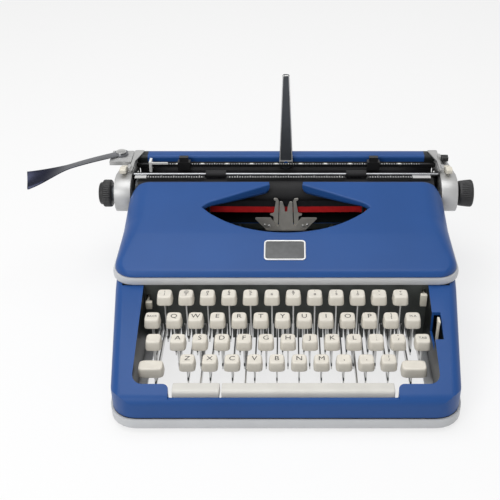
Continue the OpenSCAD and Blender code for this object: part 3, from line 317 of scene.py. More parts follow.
# Painted reflection: the return lever's blade fades to dark navy towards its end, beyond x = -212 mm.
blade_painted_reflection = (0, -0.212, -0.238, (0.035, 0.038, 0.062))
polished_steel = finish("polished_steel", STEEL_GREY, 0.20, metal=1.0, spread=0.06, cloud=40,
                        grain=700, bump=0.12, stretch=(0.06, 1.0, 1.0), rough_spread=0.12)
drawn_steel = finish("drawn_steel", STEEL_GREY, 0.30, metal=1.0, spread=0.12, cloud=80,
                     grain=900, bump=0.2, stretch=(1.0, 0.05, 1.0), rough_spread=0.16)
satin_steel = finish("satin_steel", (0.56, 0.54, 0.50), 0.46, metal=0.7,
                     spread=0.08, cloud=120, grain=1500, bump=0.2)
cast_metal = finish("cast_metal", (0.50, 0.50, 0.495), 0.44, metal=0.6,
                    spread=0.06, cloud=90, grain=1600, bump=0.3)
dark_chrome = finish("dark_chrome", (0.062, 0.068, 0.078), 0.34, metal=0.25,
                     spread=0.08, cloud=50, grain=1200, bump=0.05)
bright_trim = finish("bright_trim", (0.72, 0.72, 0.71), 0.3, metal=0.5,
                     spread=0.04, cloud=60, grain=1600, bump=0.08)
lever_steel = finish("lever_steel", (0.34, 0.345, 0.36), 0.22, **LEVER_SHINE)
blade_steel_painted_reflection = finish("blade_steel_painted_reflection", (0.22, 0.225, 0.24), 0.24, **LEVER_SHINE, fade=blade_painted_reflection)
print(len(bpy.data.materials), "materials with the floor")

# %% [markdown]
# ## Solids that stay
# Many solids already have the right shape. Their meshes are loose flat triangles, so a small
# geometry-node modifier joins the triangles and smooths every edge that turns less than 25 degrees.
# Round things then look round and real corners stay crisp. A narrow bevel catches the light on
# box-shaped pieces. The same could be done on the mesh by hand, but a modifier leaves it untouched.

# %% Soft edges
SOFT_ANGLE, BEVEL_ANGLE, WELD = math.radians(25.0), math.radians(40.0), 0.002 * MM


def soft_edge_group(angle):
    """Node group: merge doubles, shade all faces smooth, then mark an edge sharp if it turns more
    than the angle."""
    group = bpy.data.node_groups.new("soft_edges", "GeometryNodeTree")
    for way in ("INPUT", "OUTPUT"):
        group.interface.new_socket("Geometry", in_out=way, socket_type="NodeSocketGeometry")
    make, link = group.nodes.new, group.links.new
    start, end = make("NodeGroupInput"), make("NodeGroupOutput")
    merge = make("GeometryNodeMergeByDistance")
    merge.inputs["Distance"].default_value = WELD
    faces, edges = make("GeometryNodeSetShadeSmooth"), make("GeometryNodeSetShadeSmooth")
    faces.domain, edges.domain = "FACE", "EDGE"
    turn = make("GeometryNodeInputMeshEdgeAngle")
    gentle = make("FunctionNodeCompare")
    gentle.operation = "LESS_THAN"
    gentle.inputs["B"].default_value = angle
    link(start.outputs[0], merge.inputs["Geometry"])
    link(merge.outputs[0], faces.inputs["Geometry"])
    link(faces.outputs[0], edges.inputs["Geometry"])
    link(turn.outputs["Unsigned Angle"], gentle.inputs["A"])
    link(gentle.outputs[0], edges.inputs["Shade Smooth"])
    link(edges.outputs[0], end.inputs[0])
    return group


soft_edges = soft_edge_group(SOFT_ANGLE)


def dress(names, mat, bevel=0.0):
    """Gives CAD nodes a finish, soft edges and, where asked, a narrow bevel in millimetres."""
    for name in names.split():
        node = nodes[name]
        node.data.materials.clear()
        node.data.materials.append(mat)
        if bevel:
            weld = node.modifiers.new("weld", "WELD")
            weld.merge_threshold = WELD
            cut = node.modifiers.new("bevel", "BEVEL")
            cut.width = bevel * MM
            cut.segments = 2
            cut.limit_method = "ANGLE"
            cut.angle_limit = BEVEL_ANGLE
        smooth = node.modifiers.new("soft_edges", "NODES")
        smooth.node_group = soft_edges


print("soft edges up to", round(math.degrees(SOFT_ANGLE)), "degrees")

# %% Finish each solid
dress("lower_casing", casing_enamel_painted_shade)
dress("top_cover", blue_enamel)
dress("paper_table", table_enamel_painted_shade)
dress("base_tray", pale_rim, bevel=1.4)
dress("trim_band", pale_rim, bevel=2.2)
dress("rubber_feet", foot_rubber)
dress("key_comb", comb_metal)
dress("side_frames type_segment carriage_rails cover_hinge_arms carriage_bed", dark_frame)
dress("paper_deflector margin_rail", black_enamel)
dress("platen_roller feed_rollers bail_rollers ribbon", roller_rubber)
dress("left_platen_knob right_platen_knob left_margin_stop right_margin_stop", moulded_black)
dress("carriage_release_lever left_ribbon_spool right_ribbon_spool", moulded_black)
dress("casing_screws fulcrum_rod cover_hinge_pins return_lever paper_bail", polished_steel)
dress("type_guide ribbon_vibrator badge_plate", polished_steel)
dress("typebar_bank strike_typebar", drawn_steel)
dress("left_end_housing right_end_housing", cast_metal, bevel=1.2)
dress("lever_bracket", cast_metal, bevel=0.6)
dress("paper_support platen_shaft line_space_ratchet", dark_chrome)
dress("paper_guide", white_plastic)
dress("paper_release_lever line_space_selector", cream_plastic, bevel=0.6)
dress("ribbon_selector touch_lever stencil_lever", cream_plastic, bevel=0.6)
dress("number_row_keys upper_row_keys home_row_keys lower_row_keys strike_key", ivory_plastic)
dress("space_bar repeat_key shift_keys shift_lock_key backspace_key", ivory_plastic)
dress("margin_release_key tab_key", ivory_plastic)
print(sum("soft_edges" in node.modifiers for node in nodes.values()), "of", len(nodes), "solids dressed")

# %% [markdown]
# ## Surfaces from numbers
# A new piece is a grid of points worked out with numpy: rows and columns are the two parameters of
# the surface. One helper turns grids into a mesh, another closes poles by merging points that
# coincide and hangs the piece on its CAD body. A third rounds the corners of a path, and a fourth
# carries a profile along a path, which is how most of the rims, bars and strips are made. Pulling
# at vertices by hand would also work, but a formula keeps every size in plain sight.

# %% From grids to pieces
MERGE, SLIVER = 0.001 * MM, 0.0005 * MM


def grid_faces(rows, cols, loop):
    """Four-cornered faces between neighbouring points of a grid; with loop, the last column meets
    the first."""
    i = np.arange(rows - 1)[:, None]
    j = np.arange(cols if loop else cols - 1)[None, :]
    k = (j + 1) % cols
    corners = [i * cols + j, i * cols + k, (i + 1) * cols + k, (i + 1) * cols + j]
    return np.stack(corners, -1).reshape(-1, 4)


def joined(name, parts):
    """Joins parts into one mesh. A part is its points in millimetres and blocks of faces, where each
    row of a block is one face. Its point numbers go up by the points of the parts before it."""
    faces, start = [], 0
    for points, blocks in parts:
        for block in blocks:
            faces += (block + start).tolist()
        start += len(points)
    mesh = bpy.data.meshes.new(name)
    mesh.from_pydata((np.concatenate([points for points, _ in parts]) * MM).tolist(), [], faces)
    return mesh


def settle(name, mesh, mat, body, stands_for=(), sharp=40.0, outward=True, wall=0.0):
    """Merges a mesh's doubles, turns its faces outwards, shades it smooth but for edges that turn
    more than sharp degrees, and hangs it on its body, if it has only one. wall gives an open
    surface its thickness inwards."""
    work = bmesh.new()
    work.from_mesh(mesh)
    bmesh.ops.remove_doubles(work, verts=work.verts, dist=MERGE)
    bmesh.ops.dissolve_degenerate(work, edges=work.edges, dist=SLIVER)
    if outward:
        bmesh.ops.recalc_face_normals(work, faces=work.faces)
    work.to_mesh(mesh)
    work.free()
    mesh.polygons.foreach_set("use_smooth", np.ones(len(mesh.polygons), bool))
    mesh.set_sharp_from_angle(angle=math.radians(sharp))
    mesh.materials.append(mat)
    obj = add_object(name, mesh)
    if wall:
        shell = obj.modifiers.new("wall", "SOLIDIFY")
        shell.thickness = wall * MM
        shell.offset = -1.0
    if body:
        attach(obj, body)
    if stands_for:
        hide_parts(*stands_for)
    return obj


def piece(name, grids, mat, body, stands_for=(), sharp=40.0, loop=True, outward=True, wall=0.0):
    """One piece from grids of points (rows, columns, xyz in millimetres). With loop, each grid's
    rows are closed rings."""
    parts = [(g.reshape(-1, 3), [grid_faces(*g.shape[:2], loop)]) for g in grids]
    return settle(name, joined(name, parts), mat, body, stands_for, sharp, outward, wall)


print("piece helpers ready")

# %% Paths and profiles
LEAST_COSINE = 0.3


def unit(vectors):
    """Vectors along the last axis, each divided by its own length."""
    return vectors / np.linalg.norm(vectors, axis=-1, keepdims=True)


def circle(angles):
    """Points (cosine, sine) of a circle of radius one."""
    return np.stack([np.cos(angles), np.sin(angles)], -1)


def rounded_path(corners, steps=10, closed=False):
    """Path through corners (a, b, radius) in a plane: each corner with a radius becomes a circle's
    arc that touches both sides, at centre = corner + bisector * radius / sin(half angle)."""
    c = np.array(corners, float)
    out = []
    for k in range(len(c)):
        here, r = c[k, :2], c[k, 2]
        if r == 0 or (not closed and k in (0, len(c) - 1)):
            out.append(here[None])
            continue
        u, w = unit(c[k - 1, :2] - here), unit(c[(k + 1) % len(c), :2] - here)
        half = np.arccos(np.clip(u @ w, -1, 1)) / 2
        mid = here + unit(u + w) * r / np.sin(half)
        a, b = here + u * r / np.tan(half) - mid, here + w * r / np.tan(half) - mid
        first = np.arctan2(a[1], a[0])
        turn = (np.arctan2(b[1], b[0]) - first + np.pi) % FULL - np.pi
        out.append(mid + r * circle(first + turn * np.linspace(0, 1, steps)))
    return np.concatenate(out)


def sweep(path, profile, up=(0.0, 0.0, 1.0)):
    """Carries a profile (side, up) along a path of xyz points: each point = path + side * normal +
    up * up axis, where the normal is level and square to the path's direction, widened at bends by
    one over the cosine of half the turn."""
    path, p, up = (np.asarray(values, float) for values in (path, profile, up))
    step = np.diff(path, axis=0)
    ahead, behind = np.vstack([step, step[-1:]]), np.vstack([step[:1], step])
    n1, n2 = unit(np.cross(ahead, up)), unit(np.cross(behind, up))
    mean = unit(n1 + n2)
    mean /= np.clip((mean * n1).sum(1, keepdims=True), LEAST_COSINE, 1)
    return path[:, None] + p[None, :, :1] * mean[:, None] + p[None, :, 1:] * up


def capped(grid):
    """Closes both ends of a tube whose rows are rings: one more row at each end, drawn to the
    row's middle."""
    ends = [np.broadcast_to(row.mean(0), row.shape)[None] for row in (grid[0], grid[-1])]
    return np.concatenate([ends[0], grid, ends[1]])


print("path helpers ready")

# %% [markdown]
# ## Top cover
# The real cover is one pressed sheet: a low lip at the front, a long slope that bends once at the
# crown, wide rounded shoulders and an eye-shaped opening with a rolled edge. The opening could be cut
# out of a whole sheet, but a cut leaves a ragged edge. Here the sheet is a grid whose rows run from
# side to side. Every column carries its own share of the slope, so one row lies exactly on the edge
# of the eye, and no cutting is needed.

# %% Slope and shoulders
COVER_LOW, COVER_HALF, COVER_FRONT, COVER_REAR = 77.3, 155.0, -38.5, 78.0
SHOULDER, CORNER, LEAST_SHOULDER = 22.0, 20.0, 0.01
PLATEN_Y, PLATEN_Z, RELIEF_FROM, RELIEF_R = 92.0, 90.0, 70.3, 21.8
slope = rounded_path([(COVER_FRONT, COVER_LOW, 0), (-35.9, 82.2, 6), (8.1, 94.5, 70),
                      (COVER_REAR, 110.5, 0)], 24)
slope_run = np.concatenate([[0], np.cumsum(np.linalg.norm(np.diff(slope, axis=0), axis=1))])


def slope_at(run):
    """Y and Z of the cover's middle line at a way up the slope."""
    return [np.interp(run, slope_run, slope[:, k]) for k in (0, 1)]


def run_at(y):
    """Way up the slope at which the cover reaches a given Y."""
    return np.interp(y, slope[:, 0], slope_run)


def cover_point(run, flat, turn, drop):
    """One point of the cover. run: way up the slope; flat: share of the flat top from the middle (0)
    to the shoulder (1); turn: angle down the shoulder; drop: share of the side wall. Half width
    shrinks by a circle at the front corners, and the wall ends in a circle round the platen."""
    y, top = slope_at(run)
    near = np.clip(CORNER - (y - COVER_FRONT), 0, CORNER)
    half = COVER_HALF - CORNER + np.sqrt(CORNER ** 2 - near ** 2)
    relief = PLATEN_Z + np.sqrt(np.clip(RELIEF_R ** 2 - (y - PLATEN_Y) ** 2, 0, None))
    low = np.where(y < RELIEF_FROM, COVER_LOW, relief)
    r = np.clip(np.minimum(SHOULDER, top - COVER_LOW), LEAST_SHOULDER, None)
    to_low = QUARTER - np.arcsin(np.clip((low - top + r) / r, 0, 1))
    turn = np.minimum(turn, np.where(low > top - r, to_low, turn))
    x = flat * (half - r) + r * np.sin(turn)
    z = top - r * (1 - np.cos(turn)) - drop * np.clip(top - r - low, 0, None)
    return np.stack(np.broadcast_arrays(x, y, z), -1)


print("slope", round(slope_run[-1], 1), "mm long")

# %% Columns and the edge of the eye
TIP_FROM, TIP_LONG, TIP_Y = 72.0, 9.6, 42.6
NOTCH_X, NOTCH_ROUND = 16.6, 5.0
EYE_FRONT, EYE_DEEP, EYE_OUTER = 9.0, 24.8, 84.5
REAR_TIP_Y, REAR_SLANT = 52.0, 24.0 / 55.4
eye_x = np.concatenate([np.linspace(0, NOTCH_X, 5),
                        NOTCH_X + NOTCH_ROUND * np.linspace(0, 1, 6)[1:] ** 2,
                        np.linspace(NOTCH_X + NOTCH_ROUND, TIP_FROM, 18)[1:],
                        TIP_FROM + TIP_LONG * np.sin(np.linspace(0, QUARTER, 9)[1:])])
half_flat = COVER_HALF - SHOULDER
top_share = np.concatenate([eye_x, np.linspace(EYE_OUTER, half_flat, 8)]) / half_flat
bend = np.linspace(0, QUARTER, 12)[1:]
fall = np.linspace(0, 1, 5)[1:]
flat_c = np.concatenate([top_share, np.ones(len(bend) + len(fall))])
turn_c = np.concatenate([np.zeros(len(top_share)), bend, np.full(len(fall), QUARTER)])
drop_c = np.concatenate([np.zeros(len(top_share) + len(bend)), fall])
x_c = flat_c * half_flat
eye_r = (TIP_FROM ** 2 + EYE_DEEP ** 2) / (2 * EYE_DEEP)
front_arc = EYE_FRONT + eye_r - np.sqrt(np.clip(eye_r ** 2 - x_c ** 2, 0, None))
rear_line = REAR_TIP_Y + (TIP_FROM - x_c) * REAR_SLANT
closing = np.sqrt(np.clip(1 - np.clip((x_c - TIP_FROM) / TIP_LONG, 0, None) ** 2, 0, None))
front_edge, rear_edge = (TIP_Y + (edge - TIP_Y) * closing for edge in (front_arc, rear_line))
print("columns over half the cover:", len(x_c), "of which the eye takes", len(eye_x))

# %% Front and rear of the sheet
NOSE_SHARE, BESIDE_NOTCH = 0.16, NOTCH_X - 0.1
front_share = np.concatenate([np.linspace(0, NOSE_SHARE, 16), np.linspace(NOSE_SHARE, 1, 34)[1:]])
front_run = front_share[:, None] * run_at(front_edge)[None]
front_half = cover_point(front_run, flat_c[None], turn_c[None], drop_c[None])
back = x_c > BESIDE_NOTCH
rear_start = run_at(rear_edge[back])
rear_run = rear_start + np.linspace(0, 1, 22)[:, None] * (slope_run[-1] - rear_start)[None]
rear_half = cover_point(rear_run, flat_c[back][None], turn_c[back][None], drop_c[back][None])
print("front rows", len(front_half), "and rear rows", len(rear_half))

# %% Rolled edge and the whole cover
FRONT_BEND, REAR_BEND, SHEET = 1.2, 1.6, 1.4
FRONT_WALL, FRONT_MORE, REAR_WALL, REAR_MORE, NOTCH_WALL = 1.6, 1.2, 2.8, 5.0, 0.12
ROLL_STEPS, WALL_SHARES = 7, [0.35, 0.7, 1.0]
MIRROR = np.array([-1, 1, 1.0])


def level_normal(path, sign):
    """Level direction square to a path, on the side that the sign asks for."""
    way = unit(np.gradient(path[:, :2], axis=0))
    return np.stack([-way[:, 1] * sign, way[:, 0] * sign, np.zeros(len(way))], -1)


def rolled_edge(edge, away, bend, reach):
    """Rolls an edge down: points move away from the sheet by bend times sine and down by bend times
    one minus cosine of an angle up to a right angle, then straight down by reach, which has a value
    for each point of the edge."""
    ang = np.concatenate([np.linspace(0, QUARTER, ROLL_STEPS), np.full(len(WALL_SHARES), QUARTER)])
    straight = np.concatenate([np.zeros(ROLL_STEPS), WALL_SHARES])
    down = bend * (1 - np.cos(ang))[:, None] + straight[:, None] * reach[None]
    side = bend * np.sin(ang)[:, None, None] * away[None]
    return edge[None] + side - down[..., None] * np.array([0, 0, 1.0])


front_lip = front_half[-1][:len(eye_x)]
front_lip = np.concatenate([front_lip[:0:-1] * MIRROR, front_lip])
front_reach = FRONT_WALL + FRONT_MORE * (front_lip[:, 0] / eye_x[-1]) ** 6
rear_lip = rear_half[0][:(eye_x > BESIDE_NOTCH).sum()]
past_notch = rear_lip[:, 0] - NOTCH_X
lip_share = past_notch / (eye_x[-1] - NOTCH_X)
notch_share = np.clip(1 - past_notch / NOTCH_ROUND, 0, 1)
rear_reach = REAR_WALL + REAR_MORE * (1 - lip_share ** 1.5)
rear_reach = rear_reach * (NOTCH_WALL + (1 - NOTCH_WALL) * np.sqrt(1 - notch_share ** 2))
front_roll = rolled_edge(front_lip, level_normal(front_lip, 1), FRONT_BEND, front_reach)
rear_roll = rolled_edge(rear_lip, level_normal(rear_lip, -1), REAR_BEND, rear_reach)
grids = [np.concatenate([front_half[:, :0:-1] * MIRROR, front_half], 1),
         rear_half, (rear_half * MIRROR)[:, ::-1],
         front_roll, rear_roll[::-1], (rear_roll * MIRROR)[::-1, ::-1]]
cover = piece("cover_sheet", grids, blue_enamel, "cover", ["top_cover"],
              sharp=50, loop=False, outward=False, wall=SHEET)
print("cover sheet:", len(cover.data.polygons), "faces")

# %% [markdown]
# ## Badge
# A small plate with round corners lies on the slope in front of the eye: a bright raised border
# round a dark field. The field is left blank. A box with a bevel would give the same outline, but
# not the hollow between border and field, so each ring of the plate is a rounded rectangle, drawn
# in by its own inset and lifted by its own height over the cover.

# %% Badge plate
BADGE_X, BADGE_Y, BADGE_HALF, BADGE_CORNER, LEAST_CORNER = -1.0, -12.06, (19.0, 12.0), 3.6, 0.3
BADGE_NEAR = 5.0
badge_run = run_at(BADGE_Y)
badge_spot = np.array([BADGE_X, BADGE_Y, slope_at(badge_run)[1]])
badge_rise = np.subtract(slope_at(badge_run + BADGE_NEAR), slope_at(badge_run - BADGE_NEAR))
badge_lean = math.atan2(badge_rise[1], badge_rise[0])


def plate_rings(insets, heights):
    """Rings of a rounded rectangle on the slope: point = centre + x * X + across * slope direction
    + height * normal."""
    along = np.array([0.0, math.cos(badge_lean), math.sin(badge_lean)])
    normal = np.array([0.0, -math.sin(badge_lean), math.cos(badge_lean)])
    rings = []
    for inset, height in zip(insets, heights):
        a, b = (side - inset for side in BADGE_HALF)
        r = max(BADGE_CORNER - inset, LEAST_CORNER)
        ring = rounded_path([(-a, -b, r), (a, -b, r), (a, b, r), (-a, b, r)], 9, True)
        rings.append(badge_spot + ring[:, :1] * [1.0, 0, 0] + ring[:, 1:] * along + height * normal)
    return np.stack(rings)


border = plate_rings([0.0, 0.0, 0.15, 0.45, 1.0, 1.35, 1.55, 1.55, 0.0],
                     [-0.3, 0.7, 0.98, 1.12, 1.12, 1.0, 0.55, -0.3, -0.3])
field = capped(plate_rings([1.5, 1.5, 1.9], [-0.25, 0.55, 0.62]))
piece("badge_border", [border], bright_trim, "cover", ["badge_plate"])
piece("badge_field", [field], badge_grey, "cover")
print("badge at", badge_spot.round(1), "lean", round(math.degrees(badge_lean), 1))

# %% [markdown]
# ## Keys
# Each key is a moulded cap on the upright end of a flat steel lever that turns on a rod at the rear.
# A cube with a bevel and a sculpted top could be a cap, but its corners would be circles. A cap here
# is a stack of superellipse rings: nearly square at the foot, drawn in towards the top, with a
# rounded rim and a shallow dish for the finger. The levers are thin swept bars with a ring at the
# fulcrum. The CAD rows are one body each, so each row is one piece too.

# %% Caps
RING_SIZE = np.array([0.0, 6.75, 6.95, 7.0, 6.75, 6.45, 6.28, 6.0, 5.55, 4.9, 3.4, 2.0, 1.0, 0.0])
RING_Z = np.array([-9.0, -9.0, -8.75, -8.2, -5.0, -2.2, -1.2, -0.5, -0.12, 0.0, -0.14, -0.27, -0.34, -0.36])
DISH = slice(None, 8, -1)
SQUARE, CAP_WIDE, CAP_HIGH, RIM_SIZE = 4.6, 14.0, 9.0, 4.0


def superellipse(count):
    """Points (x, y) round a superellipse: |x| to the power plus |y| to the power is one."""
    round_ring = circle(np.linspace(0, FULL, count, endpoint=False))
    return np.sign(round_ring) * np.abs(round_ring) ** (2 / SQUARE)


def cap_rings(x, y, top, wide):
    """Rings of one cap: superellipse times ring size, widened in X by the extra width, at ring
    heights under the top."""
    ring = superellipse(44)
    extra = (wide - CAP_WIDE) / 2 * np.clip(RING_SIZE / RIM_SIZE, 0, 1)
    grid = np.zeros((len(RING_Z), len(ring), 3))
    grid[..., 0] = x + ring[None, :, 0] * (RING_SIZE + extra)[:, None]
    grid[..., 1] = y + ring[None, :, 1] * RING_SIZE[:, None]
    grid[..., 2] = top + RING_Z[:, None]
    return grid


print("a cap has", len(RING_Z), "rings")

# %% Key levers
X, Y, Z = range(3)
FULCRUM_Y, FULCRUM_Z, FULCRUM_IN, FULCRUM_OUT = 95.0, 20.0, 2.55, 5.0
ARM_THICK, ARM_HIGH, ARM_DEEP, ARM_START, INTO_CAP = 1.2, 7.0, 8.0, 3.2, 0.5


def turned(profile, axis, middle, count, dip=0.0):
    """Turns a profile of (way along the axis, radius) once round an axis through the middle, which is
    given on the other two axes. Radius = profile radius less dip, and never under zero."""
    way, radius = np.asarray(profile, float).T[..., None]
    angles = np.linspace(0, FULL, count, endpoint=False)
    radius = np.maximum(radius - dip, 0)
    across, up = (k for k in (X, Y, Z) if k != axis)
    grid = np.zeros((len(way), count, 3))
    grid[..., axis] = way
    grid[..., across] = middle[0] + radius * np.cos(angles)
    grid[..., up] = middle[1] + radius * np.sin(angles)
    return grid


def ring_profile(low, high, inner, outer):
    """Profile of a flat ring: a closed rectangle of way and radius."""
    return [(low, inner), (low, outer), (high, outer), (high, inner), (low, inner)]


def strip(a, b, thick, high):
    """A straight bar of rectangular section from point a to point b, closed at both ends."""
    t, h = thick / 2, high / 2
    up = (0, 0, 1) if abs(b[2] - a[2]) < abs(b[1] - a[1]) + abs(b[0] - a[0]) else (0, 1, 0)
    return capped(sweep([a, b], [(-t, -h), (t, -h), (t, h), (-t, h)], up))


def lever_grids(x, y, cap_low):
    """Lever of one key: a level strip from fulcrum to key, an upright to the cap, and a ring round
    the rod."""
    start, end = (x, FULCRUM_Y - ARM_START, FULCRUM_Z), (x, y - ARM_DEEP / 2, FULCRUM_Z)
    ring = ring_profile(x - ARM_THICK / 2, x + ARM_THICK / 2, FULCRUM_IN, FULCRUM_OUT)
    return [strip(start, end, ARM_THICK, ARM_HIGH),
            strip((x, y, FULCRUM_Z), (x, y, cap_low + INTO_CAP), ARM_THICK, ARM_DEEP),
            turned(ring, X, (FULCRUM_Y, FULCRUM_Z), 24)]


print("a key lever is made of", len(lever_grids(0.0, 0.0, 0.0)), "grids")

# %% Legends
LETTER, PAIR, LINE_SPACE = 7.6, 4.6, 0.82
INK_THICK, INK_GAP, LEGEND_UP = 0.04, 0.05, 0.3


def letters(text, size, x, y, top):
    """Points and triangles of a legend lying on a cap: flat letters, centred, pressed onto the dish
    by its ring heights."""
    curve = bpy.data.curves.new("legend", "FONT")
    curve.body, curve.align_x, curve.align_y, curve.size = text, "CENTER", "CENTER", size
    curve.resolution_u, curve.space_line = 3, LINE_SPACE
    source = add_object("legend", curve)
    bpy.context.view_layer.update()
    flat = source.evaluated_get(bpy.context.evaluated_depsgraph_get())
    mesh = bpy.data.meshes.new_from_object(flat)
    mesh.calc_loop_triangles()
    co = np.zeros(len(mesh.vertices) * 3)
    mesh.vertices.foreach_get("co", co)
    triangles = np.zeros(len(mesh.loop_triangles) * 3, np.int32)
    mesh.loop_triangles.foreach_get("vertices", triangles)
    bpy.data.objects.remove(source)
    bpy.data.meshes.remove(mesh)
    co = co.reshape(-1, 3)
    away = (np.abs(co[:, :2]) ** SQUARE).sum(1) ** (1 / SQUARE)
    dish = np.interp(away, RING_SIZE[DISH], RING_Z[DISH])
    points = np.stack([co[:, 0] + x, co[:, 1] + y, dish + top + INK_GAP], -1)
    return points, [triangles.reshape(-1, 3)]


def legend_piece(name, legends, body):
    """Joins legends (text, size, x, y, top) into one thin layer of ink that rides on a body."""
    mesh = joined(name, [letters(*legend) for legend in legends])
    mesh.materials.append(ink_black)
    obj = add_object(name, mesh)
    ink = obj.modifiers.new("ink", "SOLIDIFY")
    ink.thickness = INK_THICK * MM
    ink.offset = -1.0
    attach(obj, body)


def printed(texts, size=LETTER):
    """Legends of one size."""
    return [(text, size) for text in texts]


print("letters", LETTER, "mm high")

# %% Rows of keys
ROW_Y, ROW_Z, PITCH = [-107.0, -88.0, -69.0, -50.0], [41.5, 48.5, 57.5, 68.5], 19.0


def keys(node, row, xs, legends=(), wide=CAP_WIDE, arms=None, ahead=0.0, drop=0.0):
    """Caps, levers and legends of one body; returns how many caps. arms gives the levers' own places
    where they differ from the caps'."""
    y, top = ROW_Y[row] - ahead, ROW_Z[row] - drop
    caps = [cap_rings(x, y, top, wide) for x in xs]
    piece(node + "_caps", caps, ivory_plastic, node, [node], sharp=50)
    bars = [grid for x in (arms or xs) for grid in lever_grids(x, y, top - CAP_HIGH)]
    piece(node + "_levers", bars, drawn_steel, node, sharp=30)
    if legends:
        placed = [(text, size, x, y + LEGEND_UP, top) for (text, size), x in zip(legends, xs)]
        legend_piece(node + "_legends", placed, node)
    return len(xs)


def row_x(first, count):
    """Centres of a row of keys at one pitch from the first."""
    return [first + PITCH * k for k in range(count)]


home_x = row_x(-93.25, 11)
numbers = [mark + "\n" + digit for mark, digit in zip("!@#$%_&'()*+", "1234567890-=")]
cap_counts = [
    keys("number_row_keys", 3, row_x(-107.5, 12), printed(numbers, PAIR)),
    keys("upper_row_keys", 2, row_x(-98.0, 11), printed("QWERTYUIOP") + printed(["]\n["], PAIR)),
    keys("home_row_keys", 1, home_x[:5] + home_x[6:],
         printed("ASDFGJKL") + printed([":\n;", "\"\n/"], PAIR)),
    keys("lower_row_keys", 0, row_x(-83.75, 10), printed("ZXCVBNM,.") + printed(["?\n/"], PAIR)),
    keys("strike_key", 1, [home_x[5]], printed("H")),
    keys("backspace_key", 2, [-117.0], printed(["BACK"], size=3.4)),
    keys("margin_release_key", 2, [111.0], printed(["M-R"], size=3.6)),
    keys("shift_lock_key", 1, [-114.25]),
    keys("tab_key", 1, [117.75], printed(["TAB"], size=3.9)),
    keys("shift_keys", 0, [-114.25, 108.25], wide=22.0, arms=[-110.875, 106.25], ahead=5.0, drop=2.5)]

# %% [markdown]
# ## Space bar and repeat bar
# Both bars are one moulding each. A bevelled box would have the same radius on every edge. The real
# bars have a steep front and a soft upper edge, so a rounded section is carried from end to end and
# drawn in a little over the last millimetre. Two flat arms carry the space bar, one the repeat bar.

# %% Bars
BAR_Y, BAR_LOW = -136.4, 26.5
BAR_ENDS, BAR_SCALE = np.array([0.0, 0.12, 0.4, 0.9, 1.6]), np.array([0.90, 0.945, 0.975, 0.994, 1.0])
bar_section = rounded_path([(-143.4, BAR_LOW, 1.0), (-129.4, BAR_LOW, 1.0), (-130.4, 35.5, 1.6),
                            (-141.2, 35.5, 3.2)], 8, True)


def front_bar(node, centre, width, arms):
    """Bar along X: the section scaled about its own middle, by less than one near both ends, and
    its arms."""
    x = np.concatenate([BAR_ENDS - width / 2, width / 2 - BAR_ENDS[::-1]]) + centre
    scale = np.concatenate([BAR_SCALE, BAR_SCALE[::-1]])[:, None, None]
    middle = bar_section.mean(0)
    section = middle + (bar_section - middle)[None] * scale
    grid = np.concatenate([np.broadcast_to(x[:, None, None], section.shape[:2] + (1,)), section], -1)
    piece(node + "_moulding", [capped(grid)], bar_plastic, node, [node], sharp=50)
    bars = [grid for x in arms for grid in lever_grids(x, BAR_Y, BAR_LOW)]
    piece(node + "_arms", bars, drawn_steel, node, sharp=30)
    return width


bar_widths = [front_bar("space_bar", 18.25, width=142.5, arms=[-34.54, 60.46]),
              front_bar("repeat_key", -74.3, width=38.8, arms=[-72.54])]
print("bars", bar_widths, "mm wide")

# %% [markdown]
# ## Platen knobs
# Both knobs are turned shapes with fine flutes. The flutes could be cut by an array of cylinders, but
# one formula does it without a cut: a profile of (distance along X, radius) goes round the platen's
# axis, and on the rows that carry flutes the radius dips by a power of a cosine, which gives narrow
# grooves between broad ribs. The left knob ends in a smaller step and sits on a dark collar.

# %% Knobs
KNOB_STEPS, FLUTES = 240, 40
PLATEN_AXIS = (PLATEN_Y, PLATEN_Z)
TO_LEFT = np.array([-1, 1])


def fluted(profile, first, last, floor, groove):
    """Dip of a knob's radius: groove * cos(flutes * angle / 2) to the 8th power, on the points of
    the profile between first and last whose radius is over the floor."""
    way, radius = np.asarray(profile, float).T[..., None]
    on = (way >= first) & (way <= last) & (radius > floor)
    return on * groove * np.cos(FLUTES * np.linspace(0, FULL, KNOB_STEPS, endpoint=False) / 2) ** 8


left_profile = np.array([
    (174.2, 0), (174.2, 11.4), (174.5, 12.6), (175.1, 13.3), (176.0, 13.65), (177.0, 13.7),
    (181.4, 13.7), (182.3, 13.55), (182.9, 13.0), (183.2, 12.1), (183.4, 11.5), (185.4, 11.2),
    (186.2, 10.7), (186.8, 9.6), (187.0, 8.2), (186.6, 6.4), (186.5, 0)])
right_profile = np.array([
    (172.5, 0), (172.5, 11.0), (172.8, 11.8), (173.6, 12.4), (176.0, 12.8), (181.0, 13.4),
    (184.6, 13.7), (185.7, 13.6), (186.5, 13.0), (186.95, 11.9), (187.0, 10.8), (186.6, 9.4), (186.3, 0)])
collar_profile = np.array([(171.0, 3.2), (171.0, 6.5), (171.2, 8.0),
                           (174.4, 8.0), (174.4, 3.2), (171.0, 3.2)])
left_knob = turned(left_profile * TO_LEFT, X, PLATEN_AXIS, KNOB_STEPS,
                   fluted(left_profile, 175.0, 182.5, floor=13.2, groove=0.55))
right_knob = turned(right_profile, X, PLATEN_AXIS, KNOB_STEPS,
                    fluted(right_profile, 174.0, 185.0, floor=12.3, groove=0.5))
knob_collar = turned(collar_profile * TO_LEFT, X, PLATEN_AXIS, 48)
piece("left_knob", [left_knob], moulded_black, "platen", ["left_platen_knob"], sharp=50)
piece("left_knob_collar", [knob_collar], dark_chrome, "platen", sharp=30)
piece("right_knob", [right_knob], moulded_black, "platen", ["right_platen_knob"], sharp=50)
print("two knobs with", FLUTES, "flutes each")

